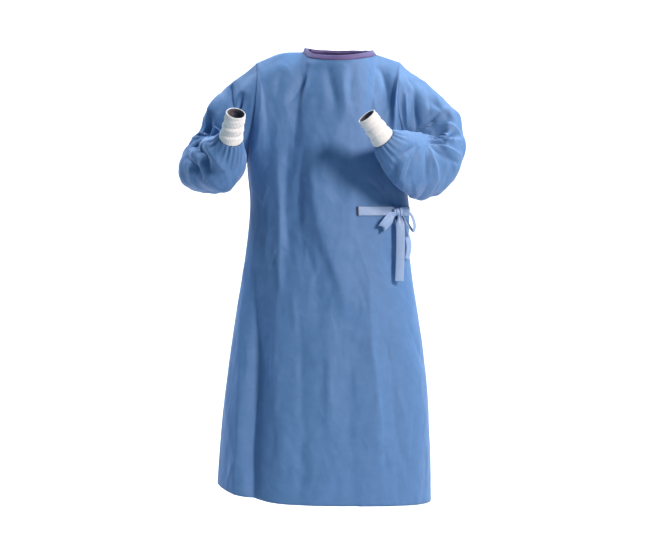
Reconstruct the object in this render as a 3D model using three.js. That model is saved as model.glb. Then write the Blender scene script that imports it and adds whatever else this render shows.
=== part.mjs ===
// Surgical gown as it is worn, hollow and open at neck, hem and cuffs: a front, two back panels that
// overlap, two set-in sleeves gathered into knit cuffs, a bound neck and a tie belt with a bow.
// Millimetres. +X is the wearer's left, -Y the front, +Z up. The origin lies between the shoulders.
import * as THREE from "three";

// Driving dimensions
const CLOTH = 1.4; // wall of the nonwoven panels and sleeves
const KNIT = 2.2; // wall of the knit cuffs
const TAPE = 1.2; // thickness of the belt
const SEAM_GAP = 0.3; // between pieces that are sewn together
const CHEST_HEIGHT = -420; // columns of cloth run straight up to here, then curve to the top edge
const CHEST_RUN = 30; // length below there that sets the curve's start
const BINDING_HEIGHT = 12;
const BINDING_CLEAR = 0.6; // between the binding and the neck edge that it stands on
const BINDING_FOLD = 0.7; // how far the folded binding stands proud of the cloth on each side
const OVERLAP_ANGLE = 16; // the back panels pass the centre back by this much, in degrees
const OVERLAP_FADE = 24; // and are back on the body's own form this far from it
const OVERLAP_LIFT = 2.6; // each panel stands this far from that form where they overlap
const CUFF_LENGTH = 72;
const BELT_WIDTH = 23;
const BELT_HEIGHT = -420; // middle of the belt below the shoulders
const BELT_CLEAR = 0.6; // between the belt and the cloth that it lies on
const BELT_FROM = 82; // x where the belt is tacked to the front
const TIP_ANGLE = 48; // from a side seam to the column that rises to the shoulder tip, low on the body
const NECK_ANGLE = 66; // from a side seam to the column that rises to the neck point
const BELT_SHORT = 0.1; // of a column, by which the belt stops short of the over panel's edge
const FOLD_EASE = 0.7; // how soon a fold reaches its full height along its length
const SEAM_GRID = 0.25; // places nearer than this on two pieces are one place on a seam

// Mesh density
const LOWER_ROWS = 14;
const UPPER_ROWS = 12;
const ARMHOLE_STEPS = 10; // from underarm to shoulder tip, on the front and on the back
const SHOULDER_STEPS = 3;
const NECK_STEPS = 6; // across the front neck
const BACK_NECK_STEPS = 3; // from the neck point to the centre back
const OVERLAP_STEPS = 2;
const SLEEVE_RINGS = 20;
const GATHER_RINGS = 4; // extra rings with twice the points, where the sleeve is gathered
const CUFF_RINGS = 8;
const BELT_STEPS = 14;
const BELT_BACK_STEPS = 40;
const RIBBON_STEPS = 16;
const KNOT_STEPS = [14, 10];

const point = (x, y, z) => new THREE.Vector3(x, y, z);
const radians = THREE.MathUtils.degToRad;
const smooth = THREE.MathUtils.smoothstep;
const lerp = THREE.MathUtils.lerp;

// Body: rings from hem to chest, each with its centre, half width, depth to front and back, and turn
// about +Z in degrees. The gown twists a little from the shoulders to the hem.
const BODY_RINGS = [
  { height: -1200, centre: 0, halfWidth: 291, front: 178, back: 168, turn: 8 },
  { height: -988, centre: 5, halfWidth: 279, front: 170, back: 158, turn: 6 },
  { height: -844, centre: 8, halfWidth: 265, front: 161, back: 148, turn: 4 },
  { height: -699, centre: 8, halfWidth: 244, front: 151, back: 138, turn: 2 },
  { height: -539, centre: 9, halfWidth: 219, front: 141, back: 126, turn: 0 },
  { height: -420, centre: 14, halfWidth: 212, front: 136, back: 119, turn: -3 },
  { height: -290, centre: 8, halfWidth: 210, front: 137, back: 120, turn: -5 },
];
const BODY_SQUARENESS = 0.9; // 1 is an ellipse, less is squarer

// The hem rides up on the wearer's right and dips on the left.
const HEM_LINE = [
  { angle: 0, height: -1139 },
  { angle: 30, height: -1150 },
  { angle: 60, height: -1164 },
  { angle: 85, height: -1170 },
  { angle: 110, height: -1178 },
  { angle: 130, height: -1186 },
  { angle: 160, height: -1196 },
  { angle: 190, height: -1199 },
  { angle: 270, height: -1172 },
  { angle: 345, height: -1134 },
  { angle: 360, height: -1139 },
];

// Long soft folds of the front: where each starts and ends across (x) and up (z), how far its middle
// bows towards +X, its half width and its height, a trough where that is negative.
const FRONT_FOLDS = [
  { x0: 2, z0: -45, x1: 34, z1: -150, bow: 3, wide: 24, high: -7 },
  { x0: 46, z0: -40, x1: 62, z1: -190, bow: 0, wide: 26, high: 6 },
  { x0: -70, z0: -60, x1: -92, z1: -200, bow: -4, wide: 26, high: -6 },
  { x0: 152, z0: -50, x1: 158, z1: -170, bow: 8, wide: 24, high: -7 },
  { x0: -86, z0: -215, x1: -84, z1: -560, bow: -14, wide: 25, high: -9 },
  { x0: -116, z0: -270, x1: -112, z1: -640, bow: 2, wide: 24, high: 8 },
  { x0: -44, z0: -230, x1: -46, z1: -560, bow: -22, wide: 26, high: -9 },
  { x0: -36, z0: -240, x1: 20, z1: -430, bow: -14, wide: 28, high: 8 },
  { x0: -150, z0: -580, x1: -150, z1: -1240, bow: -16, wide: 44, high: -15 },
  { x0: -118, z0: -560, x1: -110, z1: -1120, bow: -24, wide: 28, high: 9 },
  { x0: -212, z0: -660, x1: -236, z1: -1260, bow: 4, wide: 30, high: 10 },
  { x0: 126, z0: -640, x1: 152, z1: -1120, bow: -4, wide: 30, high: -8 },
  { x0: 20, z0: -640, x1: 14, z1: -1000, bow: 0, wide: 28, high: 6 },
  { x0: 190, z0: -225, x1: 196, z1: -410, bow: 0, wide: 42, high: -12 },
];

// The same for the back, which hangs in plain folds below the belt.
const BACK_FOLDS = [
  { x0: -150, z0: -470, x1: -176, z1: -1260, bow: 6, wide: 40, high: -12 },
  { x0: -96, z0: -440, x1: -108, z1: -1180, bow: -6, wide: 34, high: 9 },
  { x0: 110, z0: -480, x1: 126, z1: -1240, bow: 8, wide: 38, high: -12 },
  { x0: 168, z0: -450, x1: 196, z1: -1260, bow: 4, wide: 34, high: 10 },
  { x0: -90, z0: -90, x1: -120, z1: -330, bow: 8, wide: 32, high: -7 },
  { x0: 118, z0: -90, x1: 132, z1: -330, bow: -8, wide: 32, high: -7 },
];
const FOLD_EDGE = 34; // folds fade out this near a sewn edge

// Top edges of the body, along the cloth from point to point. "rise" is the way a column of cloth
// arrives there: up the chest, and over the shoulder.
const RIGHT = {
  sign: -1,
  tip: point(-176, -26, -31),
  shoulder: point(-112, -18, -5),
  neck: point(-55, -9, -1),
  underarm: point(-204, -8, -292),
  frontArmhole: [point(-192, -70, -228), point(-178, -84, -150), point(-174, -64, -82)],
  backArmhole: [point(-188, 58, -228), point(-172, 72, -150), point(-170, 46, -82)],
};
const LEFT = {
  sign: 1,
  tip: point(203, 36, -22),
  shoulder: point(170, 31, -12),
  neck: point(138, 22, -3),
  underarm: point(214, 8, -286),
  frontArmhole: [point(206, -52, -224), point(192, -66, -146), point(196, -36, -74)],
  backArmhole: [point(204, 74, -224), point(190, 98, -146), point(196, 84, -74)],
};
const FRONT_NECK = [point(-34, -54, -20), point(44, -78, -28), point(112, -44, -17)];
const BACK_NECK = [point(114, 66, 2), point(36, 74, 3), point(-34, 50, 3)];
const RISE = {
  underarm: point(0, 0, 1),
  tip: point(0.25, 0.85, 0.5),
  neckPoint: point(0, 0.75, 0.65),
  neck: point(0, 0.4, 0.9),
};

// Sleeves: the line that each follows from the armhole round the elbow and wrist to the cuff's mouth,
// and its sections: the share of the sleeve's length, the half size in the plane of the elbow's bend,
// the sizes over and under the line square to it, and how far the cloth hangs below the line.
const ELBOW_ROUND = 88;
const WRIST_ROUND = 70;
const SLEEVE_LINES = {
  right: [point(-181, -4, -160), point(-352, 6, -330), point(-229, -262, -254), point(-211, -310, -186)],
  left: [point(205, 20, -154), point(372, 26, -338), point(154, -222, -252), point(104, -250, -188)],
};
const SLEEVE_TWIST = [0.35, 0.75]; // between these shares the sections turn to stand upright
const SLEEVE_SECTIONS = {
  right: [
    { share: 0, bend: 84, over: 118, under: 100, hang: 0 },
    { share: 0.15, bend: 82, over: 110, under: 66, hang: 0 },
    { share: 0.3, bend: 78, over: 78, under: 64, hang: 0 },
    { share: 0.5, bend: 74, over: 70, under: 70, hang: 1 },
    { share: 0.68, bend: 72, over: 70, under: 80, hang: 12 },
    { share: 0.82, bend: 66, over: 62, under: 80, hang: 20 },
    { share: 0.94, bend: 45, over: 45, under: 48, hang: 8 },
    { share: 1, bend: 34, over: 34, under: 34, hang: 0 },
  ],
  left: [
    { share: 0, bend: 84, over: 122, under: 100, hang: 0 },
    { share: 0.15, bend: 84, over: 124, under: 62, hang: 0 },
    { share: 0.3, bend: 80, over: 104, under: 62, hang: 0 },
    { share: 0.5, bend: 60, over: 94, under: 80, hang: 15 },
    { share: 0.68, bend: 48, over: 82, under: 86, hang: 16 },
    { share: 0.82, bend: 48, over: 66, under: 76, hang: 12 },
    { share: 0.94, bend: 45, over: 47, under: 48, hang: 4 },
    { share: 1, bend: 34, over: 34, under: 34, hang: 0 },
  ],
};
const ARMHOLE_FADE = 0.26; // the share of the sleeve over which the armhole's shape rounds off

// Folds of a sleeve: the turn round it from the shoulder tip in degrees and the share of its length at
// each end, the half width in degrees and the height. The elbow's inner side is near 90 on the left
// sleeve and near 270 on the right one, which runs the other way round.
const SLEEVE_FOLDS = {
  right: [
    { turn0: 250, share0: 0.2, turn1: 290, share1: 0.52, wide: 34, high: -8 },
    { turn0: 318, share0: 0.3, turn1: 300, share1: 0.62, wide: 30, high: -7 },
    { turn0: 20, share0: 0.36, turn1: 40, share1: 0.74, wide: 30, high: -6 },
    { turn0: 200, share0: 0.5, turn1: 232, share1: 0.9, wide: 34, high: -7 },
    { turn0: 110, share0: 0.4, turn1: 96, share1: 0.8, wide: 36, high: 6 },
  ],
  left: [
    { turn0: 112, share0: 0.2, turn1: 74, share1: 0.5, wide: 32, high: -9 },
    { turn0: 42, share0: 0.24, turn1: 60, share1: 0.56, wide: 28, high: -8 },
    { turn0: 340, share0: 0.36, turn1: 322, share1: 0.74, wide: 32, high: -7 },
    { turn0: 160, share0: 0.5, turn1: 128, share1: 0.88, wide: 34, high: -8 },
    { turn0: 248, share0: 0.4, turn1: 262, share1: 0.8, wide: 36, high: 6 },
  ],
};
const GATHERS = 10; // waves round the wrist, each on four points
const GATHER_HEIGHT = 2.2;
const GATHER_FROM = 0.88; // share of the sleeve where they begin

// Cuffs: the radius at a share of the length, with slouched ridges and valleys.
const CUFF_SECTIONS = [
  { share: 0, radius: 33 },
  { share: 0.15, radius: 33.5 },
  { share: 0.3, radius: 30.5 },
  { share: 0.45, radius: 31.5 },
  { share: 0.6, radius: 28.5 },
  { share: 0.75, radius: 28.5 },
  { share: 1, radius: 27 },
];

// Bow over the wearer's left hip: a knot, two loops and two loose ends. Each runs through points given
// from the knot's centre, with the way its width lies.
const KNOT = point(190, -105, -423);
const KNOT_HALF = point(13, 9, 11);
const BOW = {
  bow_loop_front: {
    across: point(-0.62, -0.5, 0.6),
    loop: true,
    path: [
      point(-8.6, -7.2, -2.3),
      point(-20, -21, -10),
      point(-34, -29, -25),
      point(-41, -26, -36),
      point(-34, -18, -33),
      point(-20, -8, -20),
      point(-8.7, -1.3, -8.8),
    ],
  },
  bow_loop_side: {
    across: point(0.4, 0.92, 0),
    loop: true,
    path: [
      point(11.3, 7.3, 1.6),
      point(25, 9, 4),
      point(38, 9, -9),
      point(46, 9, -36),
      point(41, 9, -51),
      point(30, 9, -38),
      point(18, 8, -18),
      point(9.7, 4.4, -6.1),
    ],
  },
  tie_end_long: {
    across: point(0.99, 0.12, 0),
    path: [
      point(2.7, -3.9, -9.8),
      point(6, -8, -32),
      point(7, -8, -70),
      point(6, -8, -120),
      point(4, -9, -177),
    ],
  },
  tie_end_short: {
    across: point(0.6, 0.8, 0),
    path: [
      point(5.1, 5.3, -8.7),
      point(10, 18, -22),
      point(20, 33, -43),
      point(29, 36, -64),
      point(33, 36, -92),
      point(28, 34, -121),
    ],
  },
};
const TUCK = 0.35; // share of its width to which a ribbon is drawn in at the knot
const TUCK_LENGTH = 20;

// Finishes
const finish = (color, roughness) => new THREE.MeshStandardMaterial({ color, roughness, metalness: 0 });
const CLOTH_BLUE = finish(0x6488bf, 0.72);
const BELT_BLUE = finish(0x8fa8d2, 0.7);
const BINDING_PURPLE = finish(0x6e5f9e, 0.85);
const KNIT_WHITE = finish(0xe8e9ee, 0.95);

// The named columns of a table at some value of its key, eased smoothly between its rows.
function rowAt(rows, key, value) {
  const last = rows.length - 1;
  const at = THREE.MathUtils.clamp(value, rows[0][key], rows[last][key]);
  const i = Math.min(rows.findLastIndex((row) => row[key] <= at), last - 1);
  const [from, to] = [rows[i], rows[i + 1]];
  const [before, after] = [rows[Math.max(i - 1, 0)], rows[Math.min(i + 2, last)]];
  const span = to[key] - from[key];
  const t = (at - from[key]) / span;
  const eased = (name) => {
    const slopeFrom = ((to[name] - before[name]) / (to[key] - before[key])) * span;
    const slopeTo = ((after[name] - from[name]) / (after[key] - from[key])) * span;
    const rise = to[name] - from[name];
    const square = 3 * rise - 2 * slopeFrom - slopeTo;
    const cube = slopeFrom + slopeTo - 2 * rise;
    return from[name] + t * (slopeFrom + t * (square + t * cube));
  };
  return Object.fromEntries(Object.keys(from).map((name) => [name, eased(name)]));
}

// A point on the body's form. The angle runs from the wearer's right side (0) by the front (90) and the
// left side (180) to the back (270).
function bodyPoint(angle, height) {
  const ring = rowAt(BODY_RINGS, "height", height);
  const squared = (x) => Math.sign(x) * Math.abs(x) ** BODY_SQUARENESS;
  const across = -squared(Math.cos(radians(angle))) * ring.halfWidth;
  const ahead = squared(Math.sin(radians(angle)));
  const on = point(across, -ahead * (ahead > 0 ? ring.front : ring.back), height);
  on.applyAxisAngle(point(0, 0, 1), radians(ring.turn));
  return on.add(point(ring.centre, 0, 0));
}

const hemHeight = (angle) => rowAt(HEM_LINE, "angle", angle).height;

// Points evenly spread along a smooth curve through the given ones.
function alongCurve(points, steps) {
  const curve = new THREE.CatmullRomCurve3(points, false, "centripetal");
  return Array.from({ length: steps + 1 }, (_, i) => curve.getPointAt(i / steps));
}

// One stretch of a panel's top edge: for each column its angle low on the body, its top and its rise.
function stretch(points, steps, angles, rises) {
  return alongCurve(points, steps).map((top, i) => {
    const share = i / steps;
    return {
      angle: lerp(angles[0], angles[1], share),
      top,
      rise: rises[0].clone().lerp(rises[1], share).normalize(),
    };
  });
}

// Joins stretches whose ends meet, without repeating the columns where they meet.
const joined = (...parts) => parts.flatMap((part, i) => (i ? part.slice(1) : part));
const backwards = (columns) => [...columns].reverse();
const towardsFront = (rise) => point(rise.x, -rise.y, rise.z);

// From the underarm to the neck point on one side, on the front or on the back. The columns start at the
// side seam's angle and go round one way, 1 or -1.
function sideColumns(side, armhole, seam, way, facing) {
  const tip = facing(point(side.sign * RISE.tip.x, RISE.tip.y, RISE.tip.z));
  const [tipAngle, neckAngle] = [seam + way * TIP_ANGLE, seam + way * NECK_ANGLE];
  const upArmhole = [side.underarm, ...armhole, side.tip];
  const overShoulder = [side.tip, side.shoulder, side.neck];
  return joined(
    stretch(upArmhole, ARMHOLE_STEPS, [seam, tipAngle], [facing(RISE.underarm), tip]),
    stretch(overShoulder, SHOULDER_STEPS, [tipAngle, neckAngle], [tip, facing(RISE.neckPoint)]),
  );
}

const asIs = (rise) => rise.clone();
const FRONT_COLUMNS = joined(
  sideColumns(RIGHT, RIGHT.frontArmhole, 0, 1, asIs),
  stretch(
    [RIGHT.neck, ...FRONT_NECK, LEFT.neck],
    NECK_STEPS,
    [NECK_ANGLE, 180 - NECK_ANGLE],
    [RISE.neckPoint, RISE.neckPoint],
  ).map((column, i) => ({
    ...column,
    rise: column.rise.lerp(RISE.neck, Math.sin((Math.PI * i) / NECK_STEPS)).normalize(),
  })),
  backwards(sideColumns(LEFT, LEFT.frontArmhole, 180, -1, asIs)),
);

// The back neck runs on past the centre by the overlap, on each panel.
const backNeckRise = towardsFront(RISE.neckPoint);
const BACK_NECK_COLUMNS = stretch(
  [LEFT.neck, ...BACK_NECK, RIGHT.neck],
  2 * BACK_NECK_STEPS,
  [180 + NECK_ANGLE, 360 - NECK_ANGLE],
  [backNeckRise, backNeckRise],
);
const pastCentre = BACK_NECK_STEPS + OVERLAP_STEPS;
const BACK_LEFT_COLUMNS = joined(
  sideColumns(LEFT, LEFT.backArmhole, 180, 1, towardsFront),
  BACK_NECK_COLUMNS.slice(0, pastCentre + 1),
).map((column) => ({ ...column, lift: -backLift(column.angle) }));
const BACK_RIGHT_COLUMNS = joined(
  BACK_NECK_COLUMNS.slice(2 * BACK_NECK_STEPS - pastCentre),
  backwards(sideColumns(RIGHT, RIGHT.backArmhole, 360, -1, towardsFront)),
).map((column) => ({ ...column, lift: backLift(column.angle) }));

// How far the back panels part near the centre back, where one lies over the other.
function backLift(angle) {
  return OVERLAP_LIFT * (1 - smooth(Math.abs(angle - 270), OVERLAP_ANGLE, OVERLAP_FADE));
}

// A panel as rows of points from the hem to its top edge.
function panelRows(columns) {
  const rows = Array.from({ length: LOWER_ROWS + UPPER_ROWS + 1 }, () => []);
  for (const { angle, top, rise } of columns) {
    const hem = hemHeight(angle);
    for (let i = 0; i < LOWER_ROWS; i++) {
      rows[i].push(bodyPoint(angle, lerp(hem, CHEST_HEIGHT, i / LOWER_ROWS)));
    }
    const chest = bodyPoint(angle, CHEST_HEIGHT);
    const reach = chest.distanceTo(top) / 3;
    const start = chest.clone().sub(bodyPoint(angle, CHEST_HEIGHT - CHEST_RUN)).setLength(reach).add(chest);
    const end = top.clone().addScaledVector(rise, -reach);
    const curve = new THREE.CubicBezierCurve3(chest, start, end, top);
    curve.getPoints(UPPER_ROWS).forEach((on, i) => rows[LOWER_ROWS + i].push(on));
  }
  return rows;
}

// Outward normals of rows of points. Rows that close on themselves are rings; a row may have twice as
// many points as the one before it.
function normalsOf(rows, closed) {
  return rows.map((row, r) => {
    const [below, above] = [rows[Math.max(r - 1, 0)], rows[Math.min(r + 1, rows.length - 1)]];
    const like = (other, c) => other[Math.floor((c * other.length) / row.length)];
    return row.map((_, c) => {
      const n = row.length;
      const before = closed ? row[(c + n - 1) % n] : row[Math.max(c - 1, 0)];
      const after = closed ? row[(c + 1) % n] : row[Math.min(c + 1, n - 1)];
      const across = after.clone().sub(before);
      return across.cross(like(above, c).clone().sub(like(below, c))).normalize();
    });
  });
}

// Height of a set of folds at a place on the front or back.
function foldHeight(folds, x, z) {
  return folds.reduce((sum, fold) => {
    const [dx, dz] = [fold.x1 - fold.x0, fold.z1 - fold.z0];
    const length = Math.hypot(dx, dz);
    const share = ((x - fold.x0) * dx + (z - fold.z0) * dz) / length ** 2;
    if (share <= 0 || share >= 1) return sum;
    const middle = fold.x0 + share * dx + fold.bow * 4 * share * (1 - share);
    return sum + fold.high * Math.sin(Math.PI * share) ** FOLD_EASE * bell((x - middle) / fold.wide);
  }, 0);
}

// A smooth hump that is 1 in the middle and 0 from one half width on.
function bell(share) {
  return Math.abs(share) < 1 ? 0.5 + 0.5 * Math.cos(Math.PI * share) : 0;
}

// Raises a panel's folds, and lifts its columns where the back panels overlap.
function foldPanel(rows, columns, folds, freeSide) {
  const normals = normalsOf(rows, false);
  const last = columns.length - 1;
  const topRow = rows[rows.length - 1];
  return rows.map((row, r) =>
    row.map((on, c) => {
      const fromSides = Math.min(
        freeSide === "first" ? Infinity : on.distanceTo(row[0]),
        freeSide === "last" ? Infinity : on.distanceTo(row[last]),
      );
      const fade = smooth(Math.min(fromSides, on.distanceTo(topRow[c])), 0, FOLD_EDGE);
      const raise = foldHeight(folds, on.x, on.z) * fade + (columns[c].lift ?? 0);
      return on.clone().addScaledVector(normals[r][c], raise);
    }),
  );
}

// How a sewn edge moves back by half a seam's gap, square to the cut face that it shares with the piece
// sewn to it. The inner points tell which way the cloth lies.
function trims(edge, normals, inner, closed) {
  const n = edge.length;
  return edge.map((on, i) => {
    const before = closed ? edge[(i + n - 1) % n] : edge[Math.max(i - 1, 0)];
    const after = closed ? edge[(i + 1) % n] : edge[Math.min(i + 1, n - 1)];
    const away = after.clone().sub(before).cross(normals[i]).setLength(SEAM_GAP / 2);
    return away.dot(inner[i].clone().sub(on)) < 0 ? away.negate() : away;
  });
}

// Trims the sides and the shoulder and armhole edges of a panel. The hem, a free edge and the neck stay.
function trimPanel({ plain, rows, normals, columns, freeSide, sewn }) {
  const top = rows.length - 1;
  const last = columns.length - 1;
  const column = (grid, c) => grid.map((row) => row[c]);
  const moves = [];
  const trim = (edge, edgeNormals, inner, targets) =>
    trims(edge, edgeNormals, inner, false).forEach((move, i) => moves.push([targets[i], move]));
  const trimSide = (c, inner) =>
    trim(column(plain, c), column(normals, c), column(plain, inner), column(rows, c));
  if (freeSide !== "first") trimSide(0, 1);
  if (freeSide !== "last") trimSide(last, last - 1);
  for (const [from, to] of sewn) {
    const part = (grid, r) => grid[r].slice(from, to + 1);
    trim(part(plain, top), part(normals, top), part(plain, top - 1), part(rows, top));
  }
  moves.forEach(([target, move]) => target.add(move));
}

// Seams share one normal where pieces meet, so that the walls' cut faces stay parallel.
const seamNormals = new Map();
const seamKey = (on) => on.toArray().map((x) => Math.round(x / SEAM_GRID)).join(" ");
function shareNormal(on, normal) {
  const key = seamKey(on);
  if (!seamNormals.has(key)) seamNormals.set(key, point(0, 0, 0));
  seamNormals.get(key).add(normal);
}
const sharedNormal = (on, own) => seamNormals.get(seamKey(on))?.clone().normalize() ?? own;

// Sleeve: rings of points along its line, from the armhole's own loop to the wrist.
function roundedPath(corners, rounds) {
  const path = new THREE.CurvePath();
  let from = corners[0];
  for (let i = 1; i < corners.length - 1; i++) {
    const back = corners[i - 1].clone().sub(corners[i]).normalize();
    const on = corners[i + 1].clone().sub(corners[i]).normalize();
    const opening = back.angleTo(on);
    const leg = rounds[i - 1] / Math.tan(opening / 2);
    const handle = leg - (4 / 3) * Math.tan((Math.PI - opening) / 4) * rounds[i - 1];
    const along = (way, length) => corners[i].clone().addScaledVector(way, length);
    path.add(new THREE.LineCurve3(from, along(back, leg)));
    const [into, out] = [along(back, handle), along(on, handle)];
    path.add(new THREE.CubicBezierCurve3(along(back, leg), into, out, along(on, leg)));
    from = along(on, leg);
  }
  path.add(new THREE.LineCurve3(from, corners[corners.length - 1]));
  return path;
}

// A sleeve's path with, at any distance along it, its centre and the two directions of its section.
function sleeveLine(name, sign) {
  const corners = SLEEVE_LINES[name];
  const path = roundedPath(corners, [ELBOW_ROUND, WRIST_ROUND]);
  const upperArm = corners[1].clone().sub(corners[0]);
  const outward = upperArm.cross(corners[2].clone().sub(corners[1])).normalize();
  if (outward.x * sign < 0) outward.negate();
  const length = path.getLength();
  const sleeveLength = length - CUFF_LENGTH;
  const frameAt = (distance) => {
    const share = Math.min(distance / length, 1);
    const tangent = path.getTangent(share);
    const over = outward.clone().lerp(point(0, 0, 1), smooth(distance / sleeveLength, ...SLEEVE_TWIST));
    over.addScaledVector(tangent, -over.dot(tangent)).normalize();
    return { centre: path.getPoint(share), over, bend: tangent.cross(over) };
  };
  return { sleeveLength, frameAt };
}

function ringPoint(frame, turn, { bend, over, under }, raise) {
  const height = Math.cos(turn) > 0 ? over : under;
  return frame.centre
    .clone()
    .addScaledVector(frame.over, (height + raise) * Math.cos(turn))
    .addScaledVector(frame.bend, (bend + raise) * Math.sin(turn));
}

function sleeveFoldHeight(folds, turn, share) {
  const degrees = THREE.MathUtils.radToDeg(turn);
  return folds.reduce((sum, fold) => {
    const along = (share - fold.share0) / (fold.share1 - fold.share0);
    if (along <= 0 || along >= 1) return sum;
    const middle = lerp(fold.turn0, fold.turn1, along);
    const apart = THREE.MathUtils.euclideanModulo(degrees - middle + 180, 360) - 180;
    return sum + fold.high * Math.sin(Math.PI * along) * bell(apart / fold.wide);
  }, 0);
}

function sleeveRows(name, armhole, line) {
  const rings = [armhole];
  const ringCount = SLEEVE_RINGS + GATHER_RINGS;
  for (let r = 1; r <= ringCount; r++) {
    const gathered = r > SLEEVE_RINGS;
    const share = gathered
      ? lerp(GATHER_FROM, 1, (r - SLEEVE_RINGS) / GATHER_RINGS)
      : lerp(0, GATHER_FROM, r / SLEEVE_RINGS);
    const section = rowAt(SLEEVE_SECTIONS[name], "share", share);
    const frame = line.frameAt(share * line.sleeveLength);
    frame.centre.z -= section.hang;
    const count = armhole.length * (gathered ? 2 : 1);
    const fade = 1 - smooth(share, 0, ARMHOLE_FADE);
    const gather = GATHER_HEIGHT * smooth(share, GATHER_FROM, 1);
    rings.push(
      Array.from({ length: count }, (_, c) => {
        const turn = (2 * Math.PI * c) / count;
        const raise = sleeveFoldHeight(SLEEVE_FOLDS[name], turn, share) + gather * Math.cos(GATHERS * turn);
        const on = ringPoint(frame, turn, section, raise);
        if (gathered || fade === 0) return on;
        const carried = armhole[c].clone().sub(line.frameAt(0).centre).add(frame.centre);
        return on.lerp(carried, fade);
      }),
    );
  }
  return rings;
}

function cuffRows(line) {
  return Array.from({ length: CUFF_RINGS + 1 }, (_, r) => {
    const share = r / CUFF_RINGS;
    const frame = line.frameAt(line.sleeveLength + SEAM_GAP + share * (CUFF_LENGTH - SEAM_GAP));
    const { radius } = rowAt(CUFF_SECTIONS, "share", share);
    const section = { bend: radius, over: radius, under: radius };
    const count = 2 * ARMHOLE_STEPS;
    return Array.from({ length: count }, (_, c) => ringPoint(frame, (2 * Math.PI * c) / count, section, 0));
  });
}

// Closed walls between rows of outer points and rows of inner points. Cut faces that lie side by side in
// a seam are split along the same diagonals.
function stitch(below, above, closed, add, otherDiagonal = false) {
  const steps = closed ? below.length : below.length - 1;
  const doubled = above.length === 2 * below.length;
  for (let c = 0; c < steps; c++) {
    const [a, b] = [below[c], below[(c + 1) % below.length]];
    if (doubled) {
      const [d, e, f] = [above[2 * c], above[2 * c + 1], above[(2 * c + 2) % above.length]];
      add(a, e, d);
      add(a, b, e);
      add(b, f, e);
      continue;
    }
    const [d, f] = [above[c], above[(c + 1) % above.length]];
    add(a, b, otherDiagonal ? d : f);
    add(otherDiagonal ? b : a, f, d);
  }
}

function wall(outer, inner, closed) {
  const positions = [];
  const index = [];
  const numbered = (rows) => rows.map((row) => row.map((on) => positions.push(...on.toArray()) / 3 - 1));
  const [out, into] = [numbered(outer), numbered(inner)];
  const forwards = (a, b, c) => index.push(a, b, c);
  const reversed = (a, b, c) => index.push(a, c, b);
  for (let r = 0; r + 1 < out.length; r++) {
    stitch(out[r], out[r + 1], closed, forwards);
    stitch(into[r], into[r + 1], closed, reversed);
  }
  const top = out.length - 1;
  stitch(into[0], out[0], closed, forwards, true);
  stitch(out[top], into[top], closed, forwards);
  if (!closed) {
    const column = (rows, c) => rows.map((row) => row.at(c));
    stitch(column(out, 0), column(into, 0), false, forwards);
    stitch(column(into, -1), column(out, -1), false, forwards, true);
  }
  const geometry = new THREE.BufferGeometry();
  geometry.setAttribute("position", new THREE.Float32BufferAttribute(positions, 3));
  geometry.setIndex(index);
  geometry.computeVertexNormals();
  return geometry;
}

const inwards = (rows, normals, depth) =>
  rows.map((row, r) => row.map((on, c) => on.clone().addScaledVector(normals[r][c], -depth)));

const gown = new THREE.Group();
function addPiece(name, geometry, material) {
  const mesh = new THREE.Mesh(geometry, material);
  mesh.name = name;
  gown.add(mesh);
}

// Panels and sleeves, first as the plain forms that their seams are worked out from. "sewn" tells the
// first and last column of each stretch of a panel's top edge that is sewn to another panel or a sleeve.
const firstSide = [[0, ARMHOLE_STEPS], [ARMHOLE_STEPS, ARMHOLE_STEPS + SHOULDER_STEPS]];
const lastSide = ({ length }) => firstSide.map(([from, to]) => [length - 1 - to, length - 1 - from]);
const PANELS = [
  {
    name: "front",
    columns: FRONT_COLUMNS,
    folds: FRONT_FOLDS,
    sewn: [...firstSide, ...lastSide(FRONT_COLUMNS)],
  },
  { name: "back_left", columns: BACK_LEFT_COLUMNS, folds: BACK_FOLDS, freeSide: "last", sewn: firstSide },
  {
    name: "back_right",
    columns: BACK_RIGHT_COLUMNS,
    folds: BACK_FOLDS,
    freeSide: "first",
    sewn: lastSide(BACK_RIGHT_COLUMNS),
  },
];
for (const panel of PANELS) {
  panel.plain = panelRows(panel.columns);
  panel.rows = foldPanel(panel.plain, panel.columns, panel.folds, panel.freeSide);
}
const [FRONT, BACK_LEFT, BACK_RIGHT] = PANELS;

// The armhole's loop from the shoulder tip: down the front and up the back on the left, and the other
// way round on the right, so that both sleeves face out.
const topRow = (panel) => panel.plain[panel.plain.length - 1];
const frontTop = topRow(FRONT);
const loopOf = (down, up) => [
  ...backwards(down.slice(0, ARMHOLE_STEPS + 1)),
  ...up.slice(1, ARMHOLE_STEPS),
];
const ARMHOLES = {
  left: loopOf(backwards(frontTop), topRow(BACK_LEFT)),
  right: loopOf(backwards(topRow(BACK_RIGHT)), frontTop),
};
const SLEEVES = Object.entries(ARMHOLES).map(([name, armhole]) => {
  const line = sleeveLine(name, name === "left" ? 1 : -1);
  return { name, line, plain: sleeveRows(name, armhole, line) };
});

// Edges that are sewn: the sides and tops of the panels and the first ring of each sleeve
for (const panel of PANELS) {
  const normals = normalsOf(panel.plain, false);
  const top = panel.plain.length - 1;
  const last = panel.columns.length - 1;
  panel.plain[top].forEach((on, c) => shareNormal(on, normals[top][c]));
  for (let r = 0; r < top; r++) {
    if (panel.freeSide !== "first") shareNormal(panel.plain[r][0], normals[r][0]);
    if (panel.freeSide !== "last") shareNormal(panel.plain[r][last], normals[r][last]);
  }
}
for (const sleeve of SLEEVES) {
  const normals = normalsOf(sleeve.plain, true);
  sleeve.plain[0].forEach((on, c) => shareNormal(on, normals[0][c]));
}

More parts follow.
